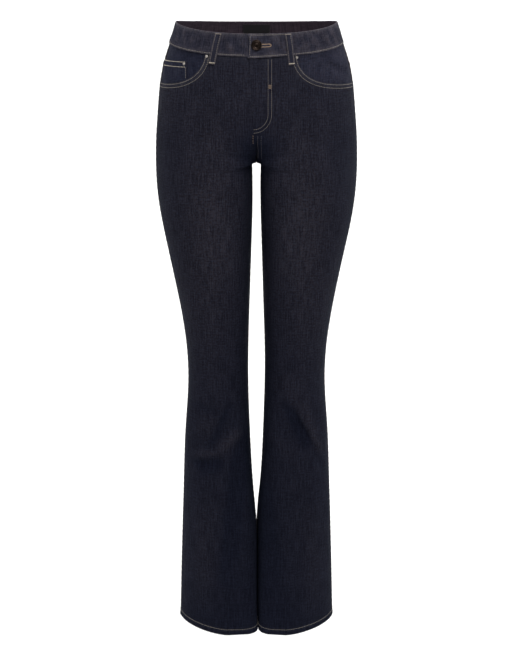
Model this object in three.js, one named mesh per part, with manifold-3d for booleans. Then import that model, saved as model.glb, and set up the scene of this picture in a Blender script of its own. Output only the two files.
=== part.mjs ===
// Flared five-pocket jeans in dark denim, filled out as if worn, with no one in them.
// Sizes are in millimetres. +Z is up, -Y is the front and +X is the wearer's left.
// The origin is the middle of the waist opening, level with the waistband's top edge at the sides.

import * as THREE from "three";
import Module from "manifold-3d";
import { mergeVertices } from "three/addons/utils/BufferGeometryUtils.js";

const wasm = await Module();
wasm.setup();

// Cloth thicknesses, and the gap left between pieces that are sewn together
const DENIM = 1.5;
const BAND_OUT = 1.1; // how far the folded waistband stands proud of the legs' cloth
const HEM_FOLD = 1.5; // the turned-up cloth inside each hem
const POCKET_CLOTH = 1.2;
const LOOP_CLOTH = 1.6;
const LABEL_CLOTH = 1.0;
const SEAM = 0.3;

// Heights, each measured on the side seam
const BAND_SEAM = -34.5;
const YOKE_SIDE = -64;
const YOKE_CENTRE = -94;
const FLY_FOOT = -166;
const CROTCH_ROW = -234;
const HEM_TOP = -1033;
const HEM = -1046;

// One half of the body, by height of the side seam: its half width, the frontmost and backmost depths,
// half the gap between the legs, the depths at which the side seam and the inseam run, where the leg is
// deepest as a share of its width from the inseam, and how round its outer and inner quarters are:
// 1 is an ellipse, less is squarer, and more comes to an edge.
const SECTIONS = {
  columns: ["z", "side", "front", "back", "gap", "sideY", "inseamY", "middle", "outerRound", "innerRound"],
  rows: [
    [0, 132.2, -92, 96, 7.4, 0, 0, 0.48, 1.2, 0.4],
    [-34.5, 143.5, -97, 103, 7.4, 0, 0, 0.48, 1.2, 0.4],
    [-80, 157, -103, 113, 7.4, 0, 0, 0.48, 1.2, 0.4],
    [-130, 163.5, -107, 121, 7.4, 0, 0, 0.48, 1.2, 0.4],
    [-190, 168.1, -106, 125, 7.4, 0, 0, 0.48, 1.2, 0.42],
    [-240, 169.4, -100.5, 114, 7.4, 0, 0, 0.48, 1.18, 0.48],
    [-291, 166.5, -96, 103, 7.4, 0, 2, 0.48, 1.13, 0.6],
    [-374, 151.9, -88, 89, 9.4, 0, 2, 0.48, 1.06, 0.72],
    [-458, 135, -79, 77, 11.9, 0, 0, 0.48, 1, 0.8],
    [-543, 121.8, -69, 67, 14.6, 0, -3, 0.48, 0.97, 0.84],
    [-608, 118.5, -64, 68, 15, -3, -6, 0.48, 0.95, 0.85],
    [-696, 123.8, -65, 75, 12.2, -9, -11, 0.47, 0.96, 0.82],
    [-807, 128.5, -70, 83, 6, -13, -14, 0.43, 1.03, 0.62],
    [-875, 131.1, -74, 87, 0.8, -14, -15, 0.4, 1.1, 0.47],
    [-951, 133.7, -79, 90, 0.6, -14, -16, 0.38, 1.2, 0.38],
    [-1054, 136.7, -86, 93, 0.6, -14, -16, 0.37, 1.32, 0.34],
  ],
};

// How far the front and back centre seams lie below the side seam on the same row
const DROPS = {
  columns: ["z", "front", "back"],
  rows: [
    [0, -16, -4.5],
    [-34.5, -17.5, -6],
    [-90, -14, -10],
    [-140, -6, -15],
    [-165, -8, -25],
    [-190, -10.5, -29],
    [-212, -8, -18],
    [-234, 0, 0],
    [-256, 0, 0],
    [-300, 0, 0],
  ],
};

// The largest folds: ridges (+) and troughs (-) along a line from one point to another, seen from the
// front or back, on the wearer's left (+1) or right (-1) leg, with their half width and height.
const FOLDS = {
  columns: ["face", "leg", "x0", "z0", "x1", "z1", "width", "height"],
  rows: [
    ["front", 1, 80, -645, 112, -735, 9, 3.2],
    ["front", 1, 62, -655, 88, -720, 12, -3],
    ["front", 1, 40, -590, 78, -650, 16, 1.6],
    ["front", -1, -62, -725, -26, -690, 11, 2.8],
    ["front", -1, -100, -760, -60, -748, 13, -2.6],
    ["front", -1, -100, -690, -66, -668, 15, 1.8],
    ["front", -1, -24, -700, -54, -960, 13, -3.6],
    ["front", -1, -88, -820, -96, -1000, 22, 2],
    ["front", 1, 16, -800, 30, -1020, 14, -2.4],
    ["front", 1, 98, -830, 104, -1030, 20, 1.8],
    ["back", 1, 105, -560, 36, -600, 10, -3],
    ["back", 1, 100, -622, 30, -640, 11, -3.4],
    ["back", 1, 92, -680, 34, -664, 12, -2.2],
    ["back", -1, -105, -570, -36, -594, 10, -3],
    ["back", -1, -98, -634, -30, -628, 12, -3.4],
    ["back", -1, -90, -672, -38, -692, 11, -2.4],
    ["back", 1, 60, -760, 52, -1010, 20, -2.4],
    ["back", -1, -66, -770, -60, -1010, 20, -2.4],
    ["back", 1, 128, -262, 40, -286, 14, -2.4],
    ["back", -1, -128, -268, -40, -282, 14, -2.4],
  ],
};

const HIP_ROUND = 0.88; // how round the ring round the hips is
const FORK_TOP = { front: -165, back: -145 }; // where the ring starts to part into two legs
const FORK_BIAS = 1.3; // above 1 the parting starts slowly
const GATHER_TOP = -105; // where the columns start to shift towards their places on the legs
const GATHER_LEAD = 10; // they are there this far below the top of the parting
const GAP_FROM = -180; // the gap between the legs shifts their deepest lines from here
const GAP_FULL = -300;
const LEAST_GAP = 0.6; // half the gap where the legs touch
const ARCH_DEPTH = 18; // height over which the crotch opens to the gap between the legs
const DROP_EASE = { hip: 1.3, leg: 11.3 }; // the powers with which a row drops towards the centre seam
const FOLD_MARGIN = 0.15; // folds fade out over this share of a panel next to each seam
const FOLD_FADE = { before: -0.25, full: 0.3 }; // and along their own length, as shares of it
const PRESSED_SLOPE = 0.22; // how much shallower the flares are where they press on each other
const FLARE_FROM = -740;
const FLARE_TO = -900;
const HEM_DIPS = { front: 11.5, back: 4 }; // how much lower the hem hangs in the middle of each face
const HEM_DIP_FROM = -960;
// How far one flare laps over the other at the front, at a given depth, and how wide that band is
const LEG_LAP = { by: 3, depth: 80, width: 45, from: -800, to: -900 };

const { PI, abs, sin, cos, sign, sqrt, min, max, acos } = Math;
const QUARTER = PI / 2;

const clamp = (v, low, high) => min(high, max(low, v));
const mix = (a, b, share) => a + (b - a) * share;
const signedPower = (v, power) => sign(v) * abs(v) ** power;

function smooth(from, to, v) {
  const share = clamp((v - from) / (to - from), 0, 1);
  return share * share * (3 - 2 * share);
}

// A natural cubic spline through points with falling x, as a function of x
function spline(xs, ys) {
  const n = xs.length;
  const bend = new Array(n).fill(0);
  const carried = new Array(n).fill(0);
  for (let i = 1; i < n - 1; i++) {
    const share = (xs[i] - xs[i - 1]) / (xs[i + 1] - xs[i - 1]);
    const pivot = share * bend[i - 1] + 2;
    const after = (ys[i + 1] - ys[i]) / (xs[i + 1] - xs[i]);
    const before = (ys[i] - ys[i - 1]) / (xs[i] - xs[i - 1]);
    bend[i] = (share - 1) / pivot;
    carried[i] = ((6 * (after - before)) / (xs[i + 1] - xs[i - 1]) - share * carried[i - 1]) / pivot;
  }
  for (let i = n - 2; i >= 0; i--) bend[i] = bend[i] * bend[i + 1] + carried[i];
  return (x) => {
    let i = 0;
    while (i < n - 2 && x < xs[i + 1]) i++;
    const h = xs[i + 1] - xs[i];
    const a = (xs[i + 1] - x) / h;
    const b = 1 - a;
    const curve = (a ** 3 - a) * bend[i] + (b ** 3 - b) * bend[i + 1];
    return a * ys[i] + b * ys[i + 1] + (curve * h * h) / 6;
  };
}

// A table's columns as splines by name, each a function of height
function columnSplines({ columns, rows }) {
  const heights = rows.map((row) => row[0]);
  const named = {};
  columns.forEach((name, i) => {
    named[name] = spline(heights, rows.map((row) => row[i]));
  });
  return named;
}

const section = columnSplines(SECTIONS);
const drop = columnSplines(DROPS);
const lowestDropRow = DROPS.rows.at(-1)[0];

// How far a row has turned from one ring round the hips (0) to a ring round each leg (1)
function forkShare(face, row) {
  const top = FORK_TOP[face];
  return smooth(0, 1, clamp((top - row) / (top - CROTCH_ROW), 0, 1) ** FORK_BIAS);
}

// Where a leg is deepest, from the middle of the body
function deepestX(row) {
  const gap = section.gap(row) * smooth(GAP_FROM, GAP_FULL, row);
  return mix(gap, section.side(row), section.middle(row));
}

// Power that gathers the columns towards the centre seam, so that the middle one lies where the leg will
// be deepest
function gathering(face, row) {
  const turn = acos((deepestX(row) / section.side(row)) ** (1 / HIP_ROUND));
  const power = -Math.log2(1 - turn / QUARTER);
  return mix(1, power, smooth(GATHER_TOP, FORK_TOP[face] - GATHER_LEAD, row));
}

// The inner edge of a leg: on the centre down to the crotch, then out along an arch to half the gap
function innerEdge(row) {
  const down = clamp((CROTCH_ROW - row) / ARCH_DEPTH, 0, 1);
  return max(section.gap(row), LEAST_GAP) * sqrt(1 - (1 - down) ** 2);
}

// Height of the fold table's ridges and troughs at a point seen from the front or back
function foldHeight(face, x, z) {
  let height = 0;
  for (const [foldFace, leg, x0, z0, x1, z1, width, tall] of FOLDS.rows) {
    if (foldFace !== face || leg * x < 0) continue;
    const [dx, dz] = [x1 - x0, z1 - z0];
    const along = ((x - x0) * dx + (z - z0) * dz) / (dx * dx + dz * dz);
    const nearest = clamp(along, 0, 1);
    const away = Math.hypot(x - x0 - nearest * dx, z - z0 - nearest * dz) / width;
    const { before, full } = FOLD_FADE;
    const taper = smooth(before, full, along) * smooth(1 - before, 1 - full, along);
    height += tall * taper * Math.exp(-away * away);
  }
  return height;
}

// The outside of the cloth. u runs from the side seam (0) to the centre seam or inseam (1), and may pass
// the centre seam a little. row is the height of the side seam on this row.
function skin(leg, face, u, row) {
  const [side, sideY, inseamY] = [section.side(row), section.sideY(row), section.inseamY(row)];
  const fork = forkShare(face, row);
  const depth = section[face](row);

  // round the hips: a quarter of a rounded ring from the side seam to the centre seam
  const hipTurn = QUARTER * (1 - signedPower(1 - u, gathering(face, row)));
  const hipX = side * signedPower(cos(hipTurn), HIP_ROUND);
  const hipY = sideY + (depth - sideY) * signedPower(sin(hipTurn), HIP_ROUND);

  // round a leg: a quarter out to where it is deepest, and another to the inseam
  const turn = PI * u;
  const outer = u < 0.5;
  const flare = smooth(FLARE_FROM, FLARE_TO, row);
  const round = outer ? section.outerRound(row) : section.innerRound(row);
  const [edgeX, edgeY] = outer ? [side, sideY] : [innerEdge(row), inseamY];
  const slope = outer ? 1 : 1 - PRESSED_SLOPE * flare * abs(cos(turn)) ** (2 * round);
  const legX = deepestX(row) + abs(edgeX - deepestX(row)) * signedPower(cos(turn), round);
  const legY = edgeY + (depth - edgeY) * signedPower(sin(turn), round) * slope;

  const x = leg * mix(hipX, legX, fork);
  const dropHere = row > lowestDropRow ? drop[face](row) : 0;
  const ease = signedPower(sin(min(hipTurn, QUARTER)), mix(DROP_EASE.hip, DROP_EASE.leg, fork));
  const hemDip = HEM_DIPS[face] * sin(PI * clamp(u, 0, 1)) * smooth(HEM_DIP_FROM, HEM, row);
  const z = row + dropHere * ease - hemDip;
  const outward = face === "front" ? -1 : 1;
  const awayFromSeams = smooth(0, FOLD_MARGIN, u) * smooth(1, 1 - FOLD_MARGIN, u);
  const y = mix(hipY, legY, fork) + outward * awayFromSeams * foldHeight(face, x, z);
  const lapped = LEG_LAP.by * smooth(LEG_LAP.from, LEG_LAP.to, row) * (y / LEG_LAP.depth);
  return new THREE.Vector3(x - lapped * Math.exp(-((x / LEG_LAP.width) ** 2)), y, z);
}

// A point at a height over the skin, along its normal
const [U_STEP, ROW_STEP] = [0.002, 0.8]; // the steps over which its slope is measured

function over(leg, face, u, row, height) {
  const point = skin(leg, face, u, row);
  if (height === 0) return point;
  const acrossStep = skin(leg, face, u + U_STEP, row).sub(skin(leg, face, u - U_STEP, row));
  const upStep = skin(leg, face, u, row + ROW_STEP).sub(skin(leg, face, u, row - ROW_STEP));
  const turned = leg * (face === "front" ? 1 : -1);
  return point.addScaledVector(upStep.cross(acrossStep).normalize(), turned * height);
}

// The same for a sewn panel, moved half a seam away from the panels on its other sides
function onPanel(leg, face, u, row, height) {
  const point = over(leg, face, u, row, height);
  if (u <= 1 && row > CROTCH_ROW - 1) point.x = leg * max(leg * point.x, 0);
  point.x += (leg * SEAM) / 2;
  point.y += ((face === "front" ? -1 : 1) * SEAM) / 2;
  return point;
}

// A closed wall of cloth. lay(s, t, height) gives a point, for each s across and t down: lists of places,
// or a count of equal steps from 0 to 1. inner and outer are heights, or functions of s and t.
function wall({ lay, across, down, inner, outer }) {
  const ss = typeof across === "number" ? steps(across) : across;
  const ts = typeof down === "number" ? steps(down) : down;
  const heightAt = (h, s, t) => (typeof h === "function" ? h(s, t) : h);
  const [columns, rows] = [ss.length, ts.length];
  const points = [];
  for (const h of [outer, inner]) {
    for (const t of ts) {
      for (const s of ss) points.push(lay(s, t, heightAt(h, s, t)));
    }
  }
  const layer = columns * rows;
  const faces = [];
  const quad = (a, b, c, d) => faces.push(a, b, c, a, c, d);
  for (let j = 0; j + 1 < rows; j++) {
    for (let i = 0; i + 1 < columns; i++) {
      const a = j * columns + i;
      const [b, c, d] = [a + 1, a + columns + 1, a + columns];
      quad(a, b, c, d);
      quad(a + layer, d + layer, c + layer, b + layer);
    }
  }
  const rim = [];
  for (let i = 0; i < columns; i++) rim.push(i);
  for (let j = 1; j < rows; j++) rim.push(j * columns + columns - 1);
  for (let i = columns - 2; i >= 0; i--) rim.push((rows - 1) * columns + i);
  for (let j = rows - 2; j > 0; j--) rim.push(j * columns);
  rim.forEach((from, k) => {
    const to = rim[(k + 1) % rim.length];
    quad(to, from, from + layer, to + layer);
  });
  return facingOut(points, faces);
}

function steps(count) {
  return Array.from({ length: count + 1 }, (_, i) => i / count);
}

// The mesh with its faces turned outwards
function facingOut(points, faces) {
  let volume = 0;
  for (let i = 0; i < faces.length; i += 3) {
    const [a, b, c] = [points[faces[i]], points[faces[i + 1]], points[faces[i + 2]]];
    volume += a.dot(b.clone().cross(c));
  }
  if (volume < 0) {
    for (let i = 0; i < faces.length; i += 3) [faces[i + 1], faces[i + 2]] = [faces[i + 2], faces[i + 1]];
  }
  const geometry = new THREE.BufferGeometry().setFromPoints(points);
  geometry.setIndex(faces);
  geometry.computeVertexNormals();
  return geometry;
}

// u at which the hips' ring reaches a distance x from the centre plane
function uAtX(row, x, face = "front") {
  const turn = acos(sign(x) * (abs(x) / section.side(row)) ** (1 / HIP_ROUND));
  return 1 - signedPower(1 - turn / QUARTER, 1 / gathering(face, row));
}

// Pocket scoops as seen from the front: each is a rounded corner below the waistband, out to the side seam.
// The front sits turned a little towards the wearer's right, so the two differ.
const SCOOP_SIDE_X = 160;
const SCOOP_TOP = -36;
const SCOOP_TALL = 62.5;
const SCOOPS = { "-1": { reach: 78, round: 2.4 }, 1: { reach: 96, round: 2.8 } };
const SCOOP_STEPS = 14;

function scoopOutline(leg, grow) {
  const { reach, round } = SCOOPS[leg];
  const curve = steps(SCOOP_STEPS).map((share) => {
    const turn = QUARTER * share;
    const x = SCOOP_SIDE_X - (reach + grow) * max(cos(turn), 0) ** (2 / round);
    return [leg * x, SCOOP_TOP - (SCOOP_TALL + grow) * sin(turn) ** (2 / round)];
  });
  const beyond = leg * (SCOOP_SIDE_X + 20);
  const corners = [[beyond, curve.at(-1)[1]], [beyond, 0], [curve[0][0], 0]];
  return new wasm.CrossSection([[...curve, ...corners]], "NonZero");
}

// A straight-sided block through the front or back cloth, from an outline of x and z
const CUT_DEPTH = 140;

function block(outline, face) {
  const upright = wasm.Manifold.extrude(outline, CUT_DEPTH).rotate([90, 0, 0]);
  return upright.translate([0, face === "front" ? 1 : CUT_DEPTH - 1, 0]);
}

function rectangle(x0, z0, x1, z1) {
  return wasm.CrossSection.square([abs(x1 - x0), abs(z1 - z0)]).translate([min(x0, x1), min(z0, z1)]);
}

// The fly's folded edge runs from the wearer's right of the centre to the centre seam, where it turns in
const FLY_EDGE = { topX: -12, footX: -4.5, turnIn: 14 };

function flyX(row) {
  const turnTop = FLY_FOOT + FLY_EDGE.turnIn;
  const share = clamp((row - BAND_SEAM) / (turnTop - BAND_SEAM), 0, 1);
  return mix(FLY_EDGE.topX, FLY_EDGE.footX, share) * smooth(FLY_FOOT, turnTop, row);
}

// Rows of every panel's grid, closest where the form turns most
const HIP_ROWS = [BAND_SEAM - 1.5 * SEAM, -50, -66, -82, -99];
const RISE_ROWS = [-122, -145, -166, -182, -196, -208, -218, -227, -234, -238.5, -244.5, -252, -268, -300];
const LEG_ROWS = [-340, -385, -430, -475, -520, -556, -586, -612, -638, -664, -690, -716, -744, -780];
const FLARE_ROWS = [-825, -870, -915, -960, -1005, HEM_TOP + 1, HEM_TOP, HEM];
const BODY_ROWS = [...RISE_ROWS, ...LEG_ROWS, ...FLARE_ROWS];
const COLUMNS = steps(12);

// Hems are turned up inside, so the wall is thicker there
const clothInside = (u, row) => (row > HEM_TOP ? -DENIM : -DENIM - HEM_FOLD);

// Everything on a front shares one grid of places, so that layers stay parallel
function frontSheet(leg, rows, inner, outer) {
  const edge = (row) => (row > FLY_FOOT ? uAtX(row, leg * flyX(row)) : 1);
  const lay = (s, row, height) => onPanel(leg, "front", s * edge(row), row, height);
  return wall({ across: COLUMNS, down: rows, lay, inner, outer });
}

function frontPanel(leg) {
  const sheet = frontSheet(leg, [...HIP_ROWS, ...BODY_ROWS], clothInside, 0);
  return fromSolid(toSolid(sheet).subtract(block(scoopOutline(leg, 0), "front")));
}

// The denim that shows inside a pocket's scoop, tucked behind the front's edge
const FACING_TUCK = 13;

function pocketFacing(leg) {
  const outer = -DENIM - SEAM;
  const sheet = frontSheet(leg, [...HIP_ROWS, -122], outer - DENIM, outer);
  return fromSolid(toSolid(sheet).intersect(block(scoopOutline(leg, FACING_TUCK), "front")));
}

// The coin pocket in the wearer's right scoop, from the side seam to its stitched edge
const COIN_TOP = -61;
const COIN_FOOT = -110;
const COIN_EDGE_X = -113.5;
const COIN_SIDE_X = -170;

function coinPocket() {
  const sheet = frontSheet(-1, HIP_ROWS, -DENIM, -SEAM);
  const patch = rectangle(COIN_SIDE_X, COIN_FOOT, COIN_EDGE_X, COIN_TOP);
  const outline = scoopOutline(-1, -2 * SEAM).intersect(patch);
  return fromSolid(toSolid(sheet).intersect(block(outline, "front")));
}

// The yoke seam dips from the side seam to the centre back, and the rows below it level out
const YOKE_BEND = 1.2;
const YOKE_FADE = -190;
const yokeRow = (u) => mix(YOKE_SIDE, YOKE_CENTRE, u ** YOKE_BEND);
const SEAT_ROWS = [YOKE_SIDE, -82, -101];

// Everything on a back shares one grid too
function backSheet(leg, rows, inner, outer) {
  const lay = (u, row, height) => {
    const fade = clamp((row - YOKE_FADE) / (YOKE_SIDE - YOKE_FADE), 0, 1);
    return onPanel(leg, "back", u, row + (yokeRow(u) - YOKE_SIDE) * fade - SEAM / 2, height);
  };
  return wall({ across: COLUMNS, down: rows, lay, inner, outer });
}

const backPanel = (leg) => backSheet(leg, [...SEAT_ROWS, ...BODY_ROWS], clothInside, 0);

function yoke(leg) {
  const lay = (u, t, height) => {
    const row = mix(BAND_SEAM - SEAM, yokeRow(u) + SEAM / 2, t);
    return onPanel(leg, "back", u, row, height);
  };
  return wall({ across: COLUMNS, down: 3, lay, inner: -DENIM, outer: 0 });
}

// Back patch pockets as seen from the back, on the wearer's left
const BACK_POCKET = [
  [30, -116],
  [141, -97],
  [135, -205],
  [88, -240],
  [38, -221],
];

const POCKET_ROWS = [...SEAT_ROWS, ...RISE_ROWS.filter((row) => row > -255)];

function backPocket(leg) {
  const sheet = backSheet(leg, POCKET_ROWS, SEAM, SEAM + POCKET_CLOTH);
  const outline = new wasm.CrossSection([BACK_POCKET.map(([x, z]) => [leg * x, z])], "NonZero");
  return fromSolid(toSolid(sheet).intersect(block(outline, "back")));
}

// Round the waist in quarters from the centre front by way of the wearer's right: 1 and 3 are the side
// seams, 2 is the centre back, and the strip's ends pass the centre front.
function roundWaist(quarters, row, height) {
  if (quarters <= 1) return over(-1, "front", 1 - quarters, row, height);
  if (quarters <= 2) return over(-1, "back", quarters - 1, row, height);
  if (quarters <= 3) return over(1, "back", 3 - quarters, row, height);
  return over(1, "front", quarters - 3, row, height);
}

// The waistband's under end lies behind its over end, which carries the buttonhole
const UNDER_END_X = 30;
const TAB_EDGE_X = -13;
const LAP_RAMP = 14;
const LAP = (DENIM + BAND_OUT + SEAM) / 2;

function bandLift(quarters) {
  const under = 1 - smooth(1 - uAtX(0, -TAB_EDGE_X), 1 - uAtX(0, -TAB_EDGE_X + LAP_RAMP), quarters);
  const rampTop = 3 + uAtX(0, UNDER_END_X);
  return LAP * (smooth(3 + uAtX(0, UNDER_END_X + LAP_RAMP), rampTop, quarters) - under);
}

const BUTTON_ROW = BAND_SEAM / 2;
const BUTTONHOLE = { fromX: -3, toX: 22, width: 3.6 };

// Places round the band: twice the panels' columns, its ends, and where it ramps over or under itself
const STATIONS_PER_QUARTER = 24;
const LEAST_STEP = 0.01;

function bandStations() {
  const [first, last] = [1 - uAtX(0, -UNDER_END_X), 3 + uAtX(0, TAB_EDGE_X)];
  const ramps = [
    1 - uAtX(0, -TAB_EDGE_X),
    1 - uAtX(0, -TAB_EDGE_X + LAP_RAMP),
    3 + uAtX(0, UNDER_END_X + LAP_RAMP),
    3 + uAtX(0, UNDER_END_X),
  ];
  const spots = steps(6 * STATIONS_PER_QUARTER).map((share) => 6 * share - 1);
  const columns = spots.filter((q) => q > first && q < last);
  const apart = columns.filter((q) => ramps.every((ramp) => abs(q - ramp) > LEAST_STEP));
  return [first, ...[...apart, ...ramps].sort((a, b) => a - b), last];
}

function waistband() {
  const plain = wall({
    across: bandStations(),
    down: 2,
    lay: (quarters, t, height) => roundWaist(quarters, mix(0, BAND_SEAM, t), height + bandLift(quarters)),
    inner: -DENIM,
    outer: BAND_OUT,
  });
  const slot = wall({
    across: 6,
    down: 1,
    lay: (s, t, height) => {
      const u = uAtX(BUTTON_ROW, mix(BUTTONHOLE.fromX, BUTTONHOLE.toX, s));
      return over(1, "front", u, BUTTON_ROW + (0.5 - t) * BUTTONHOLE.width, height);
    },
    inner: LAP - DENIM - SEAM / 2,
    outer: LAP + BAND_OUT + SEAM,
  });
  return fromSolid(toSolid(plain).subtract(toSolid(slot)));
}

function toSolid(geometry) {
  const bare = geometry.clone();
  bare.deleteAttribute("normal");
  const merged = mergeVertices(bare, 1e-4);
  const mesh = new wasm.Mesh({
    numProp: 3,
    vertProperties: merged.attributes.position.array,
    triVerts: new Uint32Array(merged.index.array),
  });
  return new wasm.Manifold(mesh);
}

function fromSolid(solid) {
  const { numProp, vertProperties, triVerts } = solid.getMesh();
  const points = [];
  for (let i = 0; i < vertProperties.length; i += numProp) {
    points.push(new THREE.Vector3(...vertProperties.slice(i, i + 3)));
  }
  return facingOut(points, Array.from(triVerts));
}

// Belt loops run from the band's top edge to below its seam. Each has the x of its top and foot.
const LOOP_WIDTH = 10.4;
const LOOP_TOP = -0.5;
const LOOP_FOOT = BAND_SEAM - 15;
const LOOP_STEP = { from: BAND_SEAM - 1.5, to: BAND_SEAM - 10 }; // where it comes down off the band
const LOOPS = [
  { name: "loop_front_right", leg: -1, face: "front", topX: 59.5, footX: 71.6 },
  { name: "loop_front_left", leg: 1, face: "front", topX: 49.4, footX: 56.6 },
  { name: "loop_side_right", leg: -1, face: "back", topX: 96, footX: 99 },
  { name: "loop_side_left", leg: 1, face: "back", topX: 96, footX: 99 },
  { name: "loop_back", leg: 1, face: "back", topX: 0, footX: 0 },
];

// Height of a loop's underside over the skin: clear of the band, bowed out from it, and down to the panel
function loopLift(row) {
  const bow = sin(PI * clamp(row / BAND_SEAM, 0, 1));
  const onBand = BAND_OUT + SEAM + bow;
  return mix(onBand, SEAM, smooth(LOOP_STEP.from, LOOP_STEP.to, row));
}

function beltLoop({ leg, face, topX, footX }) {
  return wall({
    across: 2,
    down: 9,
    lay: (s, t, height) => {
      const row = mix(LOOP_TOP, LOOP_FOOT, t);
      const x = mix(topX, footX, t) + (s - 0.5) * LOOP_WIDTH;
      return over(leg, face, uAtX(row, x), row, height + loopLift(row));
    },
    inner: 0,
    outer: LOOP_CLOTH,
  });
}

// Behind the fly: the zip's tape with its closed chain, then the shield
function behindFly({ fromX, toX, foot, nearest, thickness, across }) {
  return wall({
    across,
    down: 6,
    lay: (s, t, height) => {
      const row = mix(BAND_SEAM - 2 * SEAM, foot, t);
      return over(1, "front", uAtX(row, mix(fromX, toX, s)), row, height);
    },
    inner: typeof thickness === "function" ? (s) => nearest - thickness(s) : nearest - thickness,
    outer: nearest,
  });
}

const ZIP_TAPE = 1.0;
const ZIP_CHAIN = 1.9;
const CHAIN_HALF = 0.12; // half the chain's width, as a share of the tape's

function zip() {
  return behindFly({
    fromX: 18,
    toX: -8,
    foot: FLY_FOOT + 8,
    nearest: -DENIM - 2 * SEAM,
    thickness: (s) => (abs(s - 0.5) < CHAIN_HALF ? ZIP_CHAIN : ZIP_TAPE),
    across: [0, 0.5 - CHAIN_HALF, 0.42, 0.58, 0.5 + CHAIN_HALF, 1],
  });
}

function flyShield() {
  const nearest = -DENIM - 3 * SEAM - ZIP_CHAIN;
  return behindFly({ fromX: 26, toX: -34, foot: FLY_FOOT + 2, nearest, thickness: DENIM, across: 6 });
}

const LABEL = { halfWidth: 23, top: -5, foot: -29 };

function label() {
  const { halfWidth, top, foot } = LABEL;
  return wall({
    across: 4,
    down: 1,
    lay: (s, t, height) => {
      const row = mix(top, foot, t);
      return over(1, "back", uAtX(row, mix(halfWidth, -halfWidth, s)), row, height);
    },
    inner: -DENIM - SEAM - LABEL_CLOTH,
    outer: -DENIM - SEAM,
  });
}

// A turned piece standing on the skin at a point, from a profile of radius and height over the skin
function turned(profile, segments, leg, u, row) {
  const geometry = new THREE.LatheGeometry(profile.map(([r, h]) => new THREE.Vector2(r, h)), segments);
  const foot = over(leg, "front", u, row, 0);
  const outward = over(leg, "front", u, row, 1).sub(foot).normalize();
  geometry.applyQuaternion(new THREE.Quaternion().setFromUnitVectors(new THREE.Vector3(0, 1, 0), outward));
  geometry.translate(foot.x, foot.y, foot.z);
  return geometry;
}

// Jeans button: a shank through the buttonhole, and a dished head with a raised rim and middle
function button() {
  const seat = LAP + BAND_OUT + SEAM;
  const profile = [
    [0, -LAP + BAND_OUT + SEAM],
    [1.5, -LAP + BAND_OUT + SEAM],
    [1.5, seat],
    [7.6, seat],
    [8.5, seat + 1],
    [8.5, seat + 1.9],
    [7.7, seat + 2.7],
    [6.6, seat + 2.4],
    [5.6, seat + 1.9],
    [3, seat + 2.1],
    [0, seat + 2.4],
  ];
  return turned(profile, 20, 1, uAtX(BUTTON_ROW, 0), BUTTON_ROW);
}

// Rivets: one at the inner top corner of each scoop, and one at the coin pocket's corner
const RIVET_RADIUS = 2.6;
const RIVETS = [
  { name: "rivet_right", leg: -1, x: 80, row: BAND_SEAM - 3.5 },
  { name: "rivet_left", leg: 1, x: 64.6, row: BAND_SEAM - 3.5 },
  { name: "rivet_coin", leg: -1, x: 117, row: COIN_TOP + 6 },
];

function rivet({ leg, x, row }) {
  const r = RIVET_RADIUS;
  const profile = [
    [0, SEAM],
    [r, SEAM],
    [r, 0.8],
    [0.7 * r, 1.5],
    [0.3 * r, 1.7],
    [0, 1.7],
  ];
  return turned(profile, 14, leg, uAtX(row, x), row);
}

const COLOURS = {
  denim: { color: 0x1e1f29, roughness: 0.92, metalness: 0 },
  label: { color: 0x0c0c0e, roughness: 0.6, metalness: 0 },
  zip: { color: 0x20222a, roughness: 0.7, metalness: 0 },
  button: { color: 0x2c211c, roughness: 0.35, metalness: 1 },
  rivet: { color: 0xb9b7b4, roughness: 0.3, metalness: 1 },
};

const jeans = new THREE.Group();

function add(name, geometry, colour) {
  const mesh = new THREE.Mesh(geometry, new THREE.MeshStandardMaterial(COLOURS[colour]));
  mesh.name = name;
  jeans.add(mesh);
}

for (const [word, leg] of Object.entries({ right: -1, left: 1 })) {
  add(`front_${word}`, frontPanel(leg), "denim");
  add(`back_${word}`, backPanel(leg), "denim");
  add(`yoke_${word}`, yoke(leg), "denim");
  add(`pocket_facing_${word}`, pocketFacing(leg), "denim");
  add(`back_pocket_${word}`, backPocket(leg), "denim");
}
add("waistband", waistband(), "denim");
add("coin_pocket", coinPocket(), "denim");
for (const loop of LOOPS) add(loop.name, beltLoop(loop), "denim");
add("zip", zip(), "zip");
add("fly_shield", flyShield(), "denim");
add("label", label(), "label");
add("button", button(), "button");
for (const place of RIVETS) add(place.name, rivet(place), "rivet");

export default jeans;
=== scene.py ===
# %% [markdown]
# # Flared jeans in dark denim
#
# This lesson dresses a plain model of a pair of jeans. The model gives the size and place of every piece;
# here each piece becomes a fine shell of cloth with its creases, seams, stitching and weave. The jeans are
# filled out as if worn, with no one in them, so every panel is a smooth curved surface and can be worked
# out as a function of two parameters instead of being sculpted.
#
# Work is in millimetres, because that is how jeans are measured, and each finished piece is made in metres.

# %% Load the frame
import math

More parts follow.
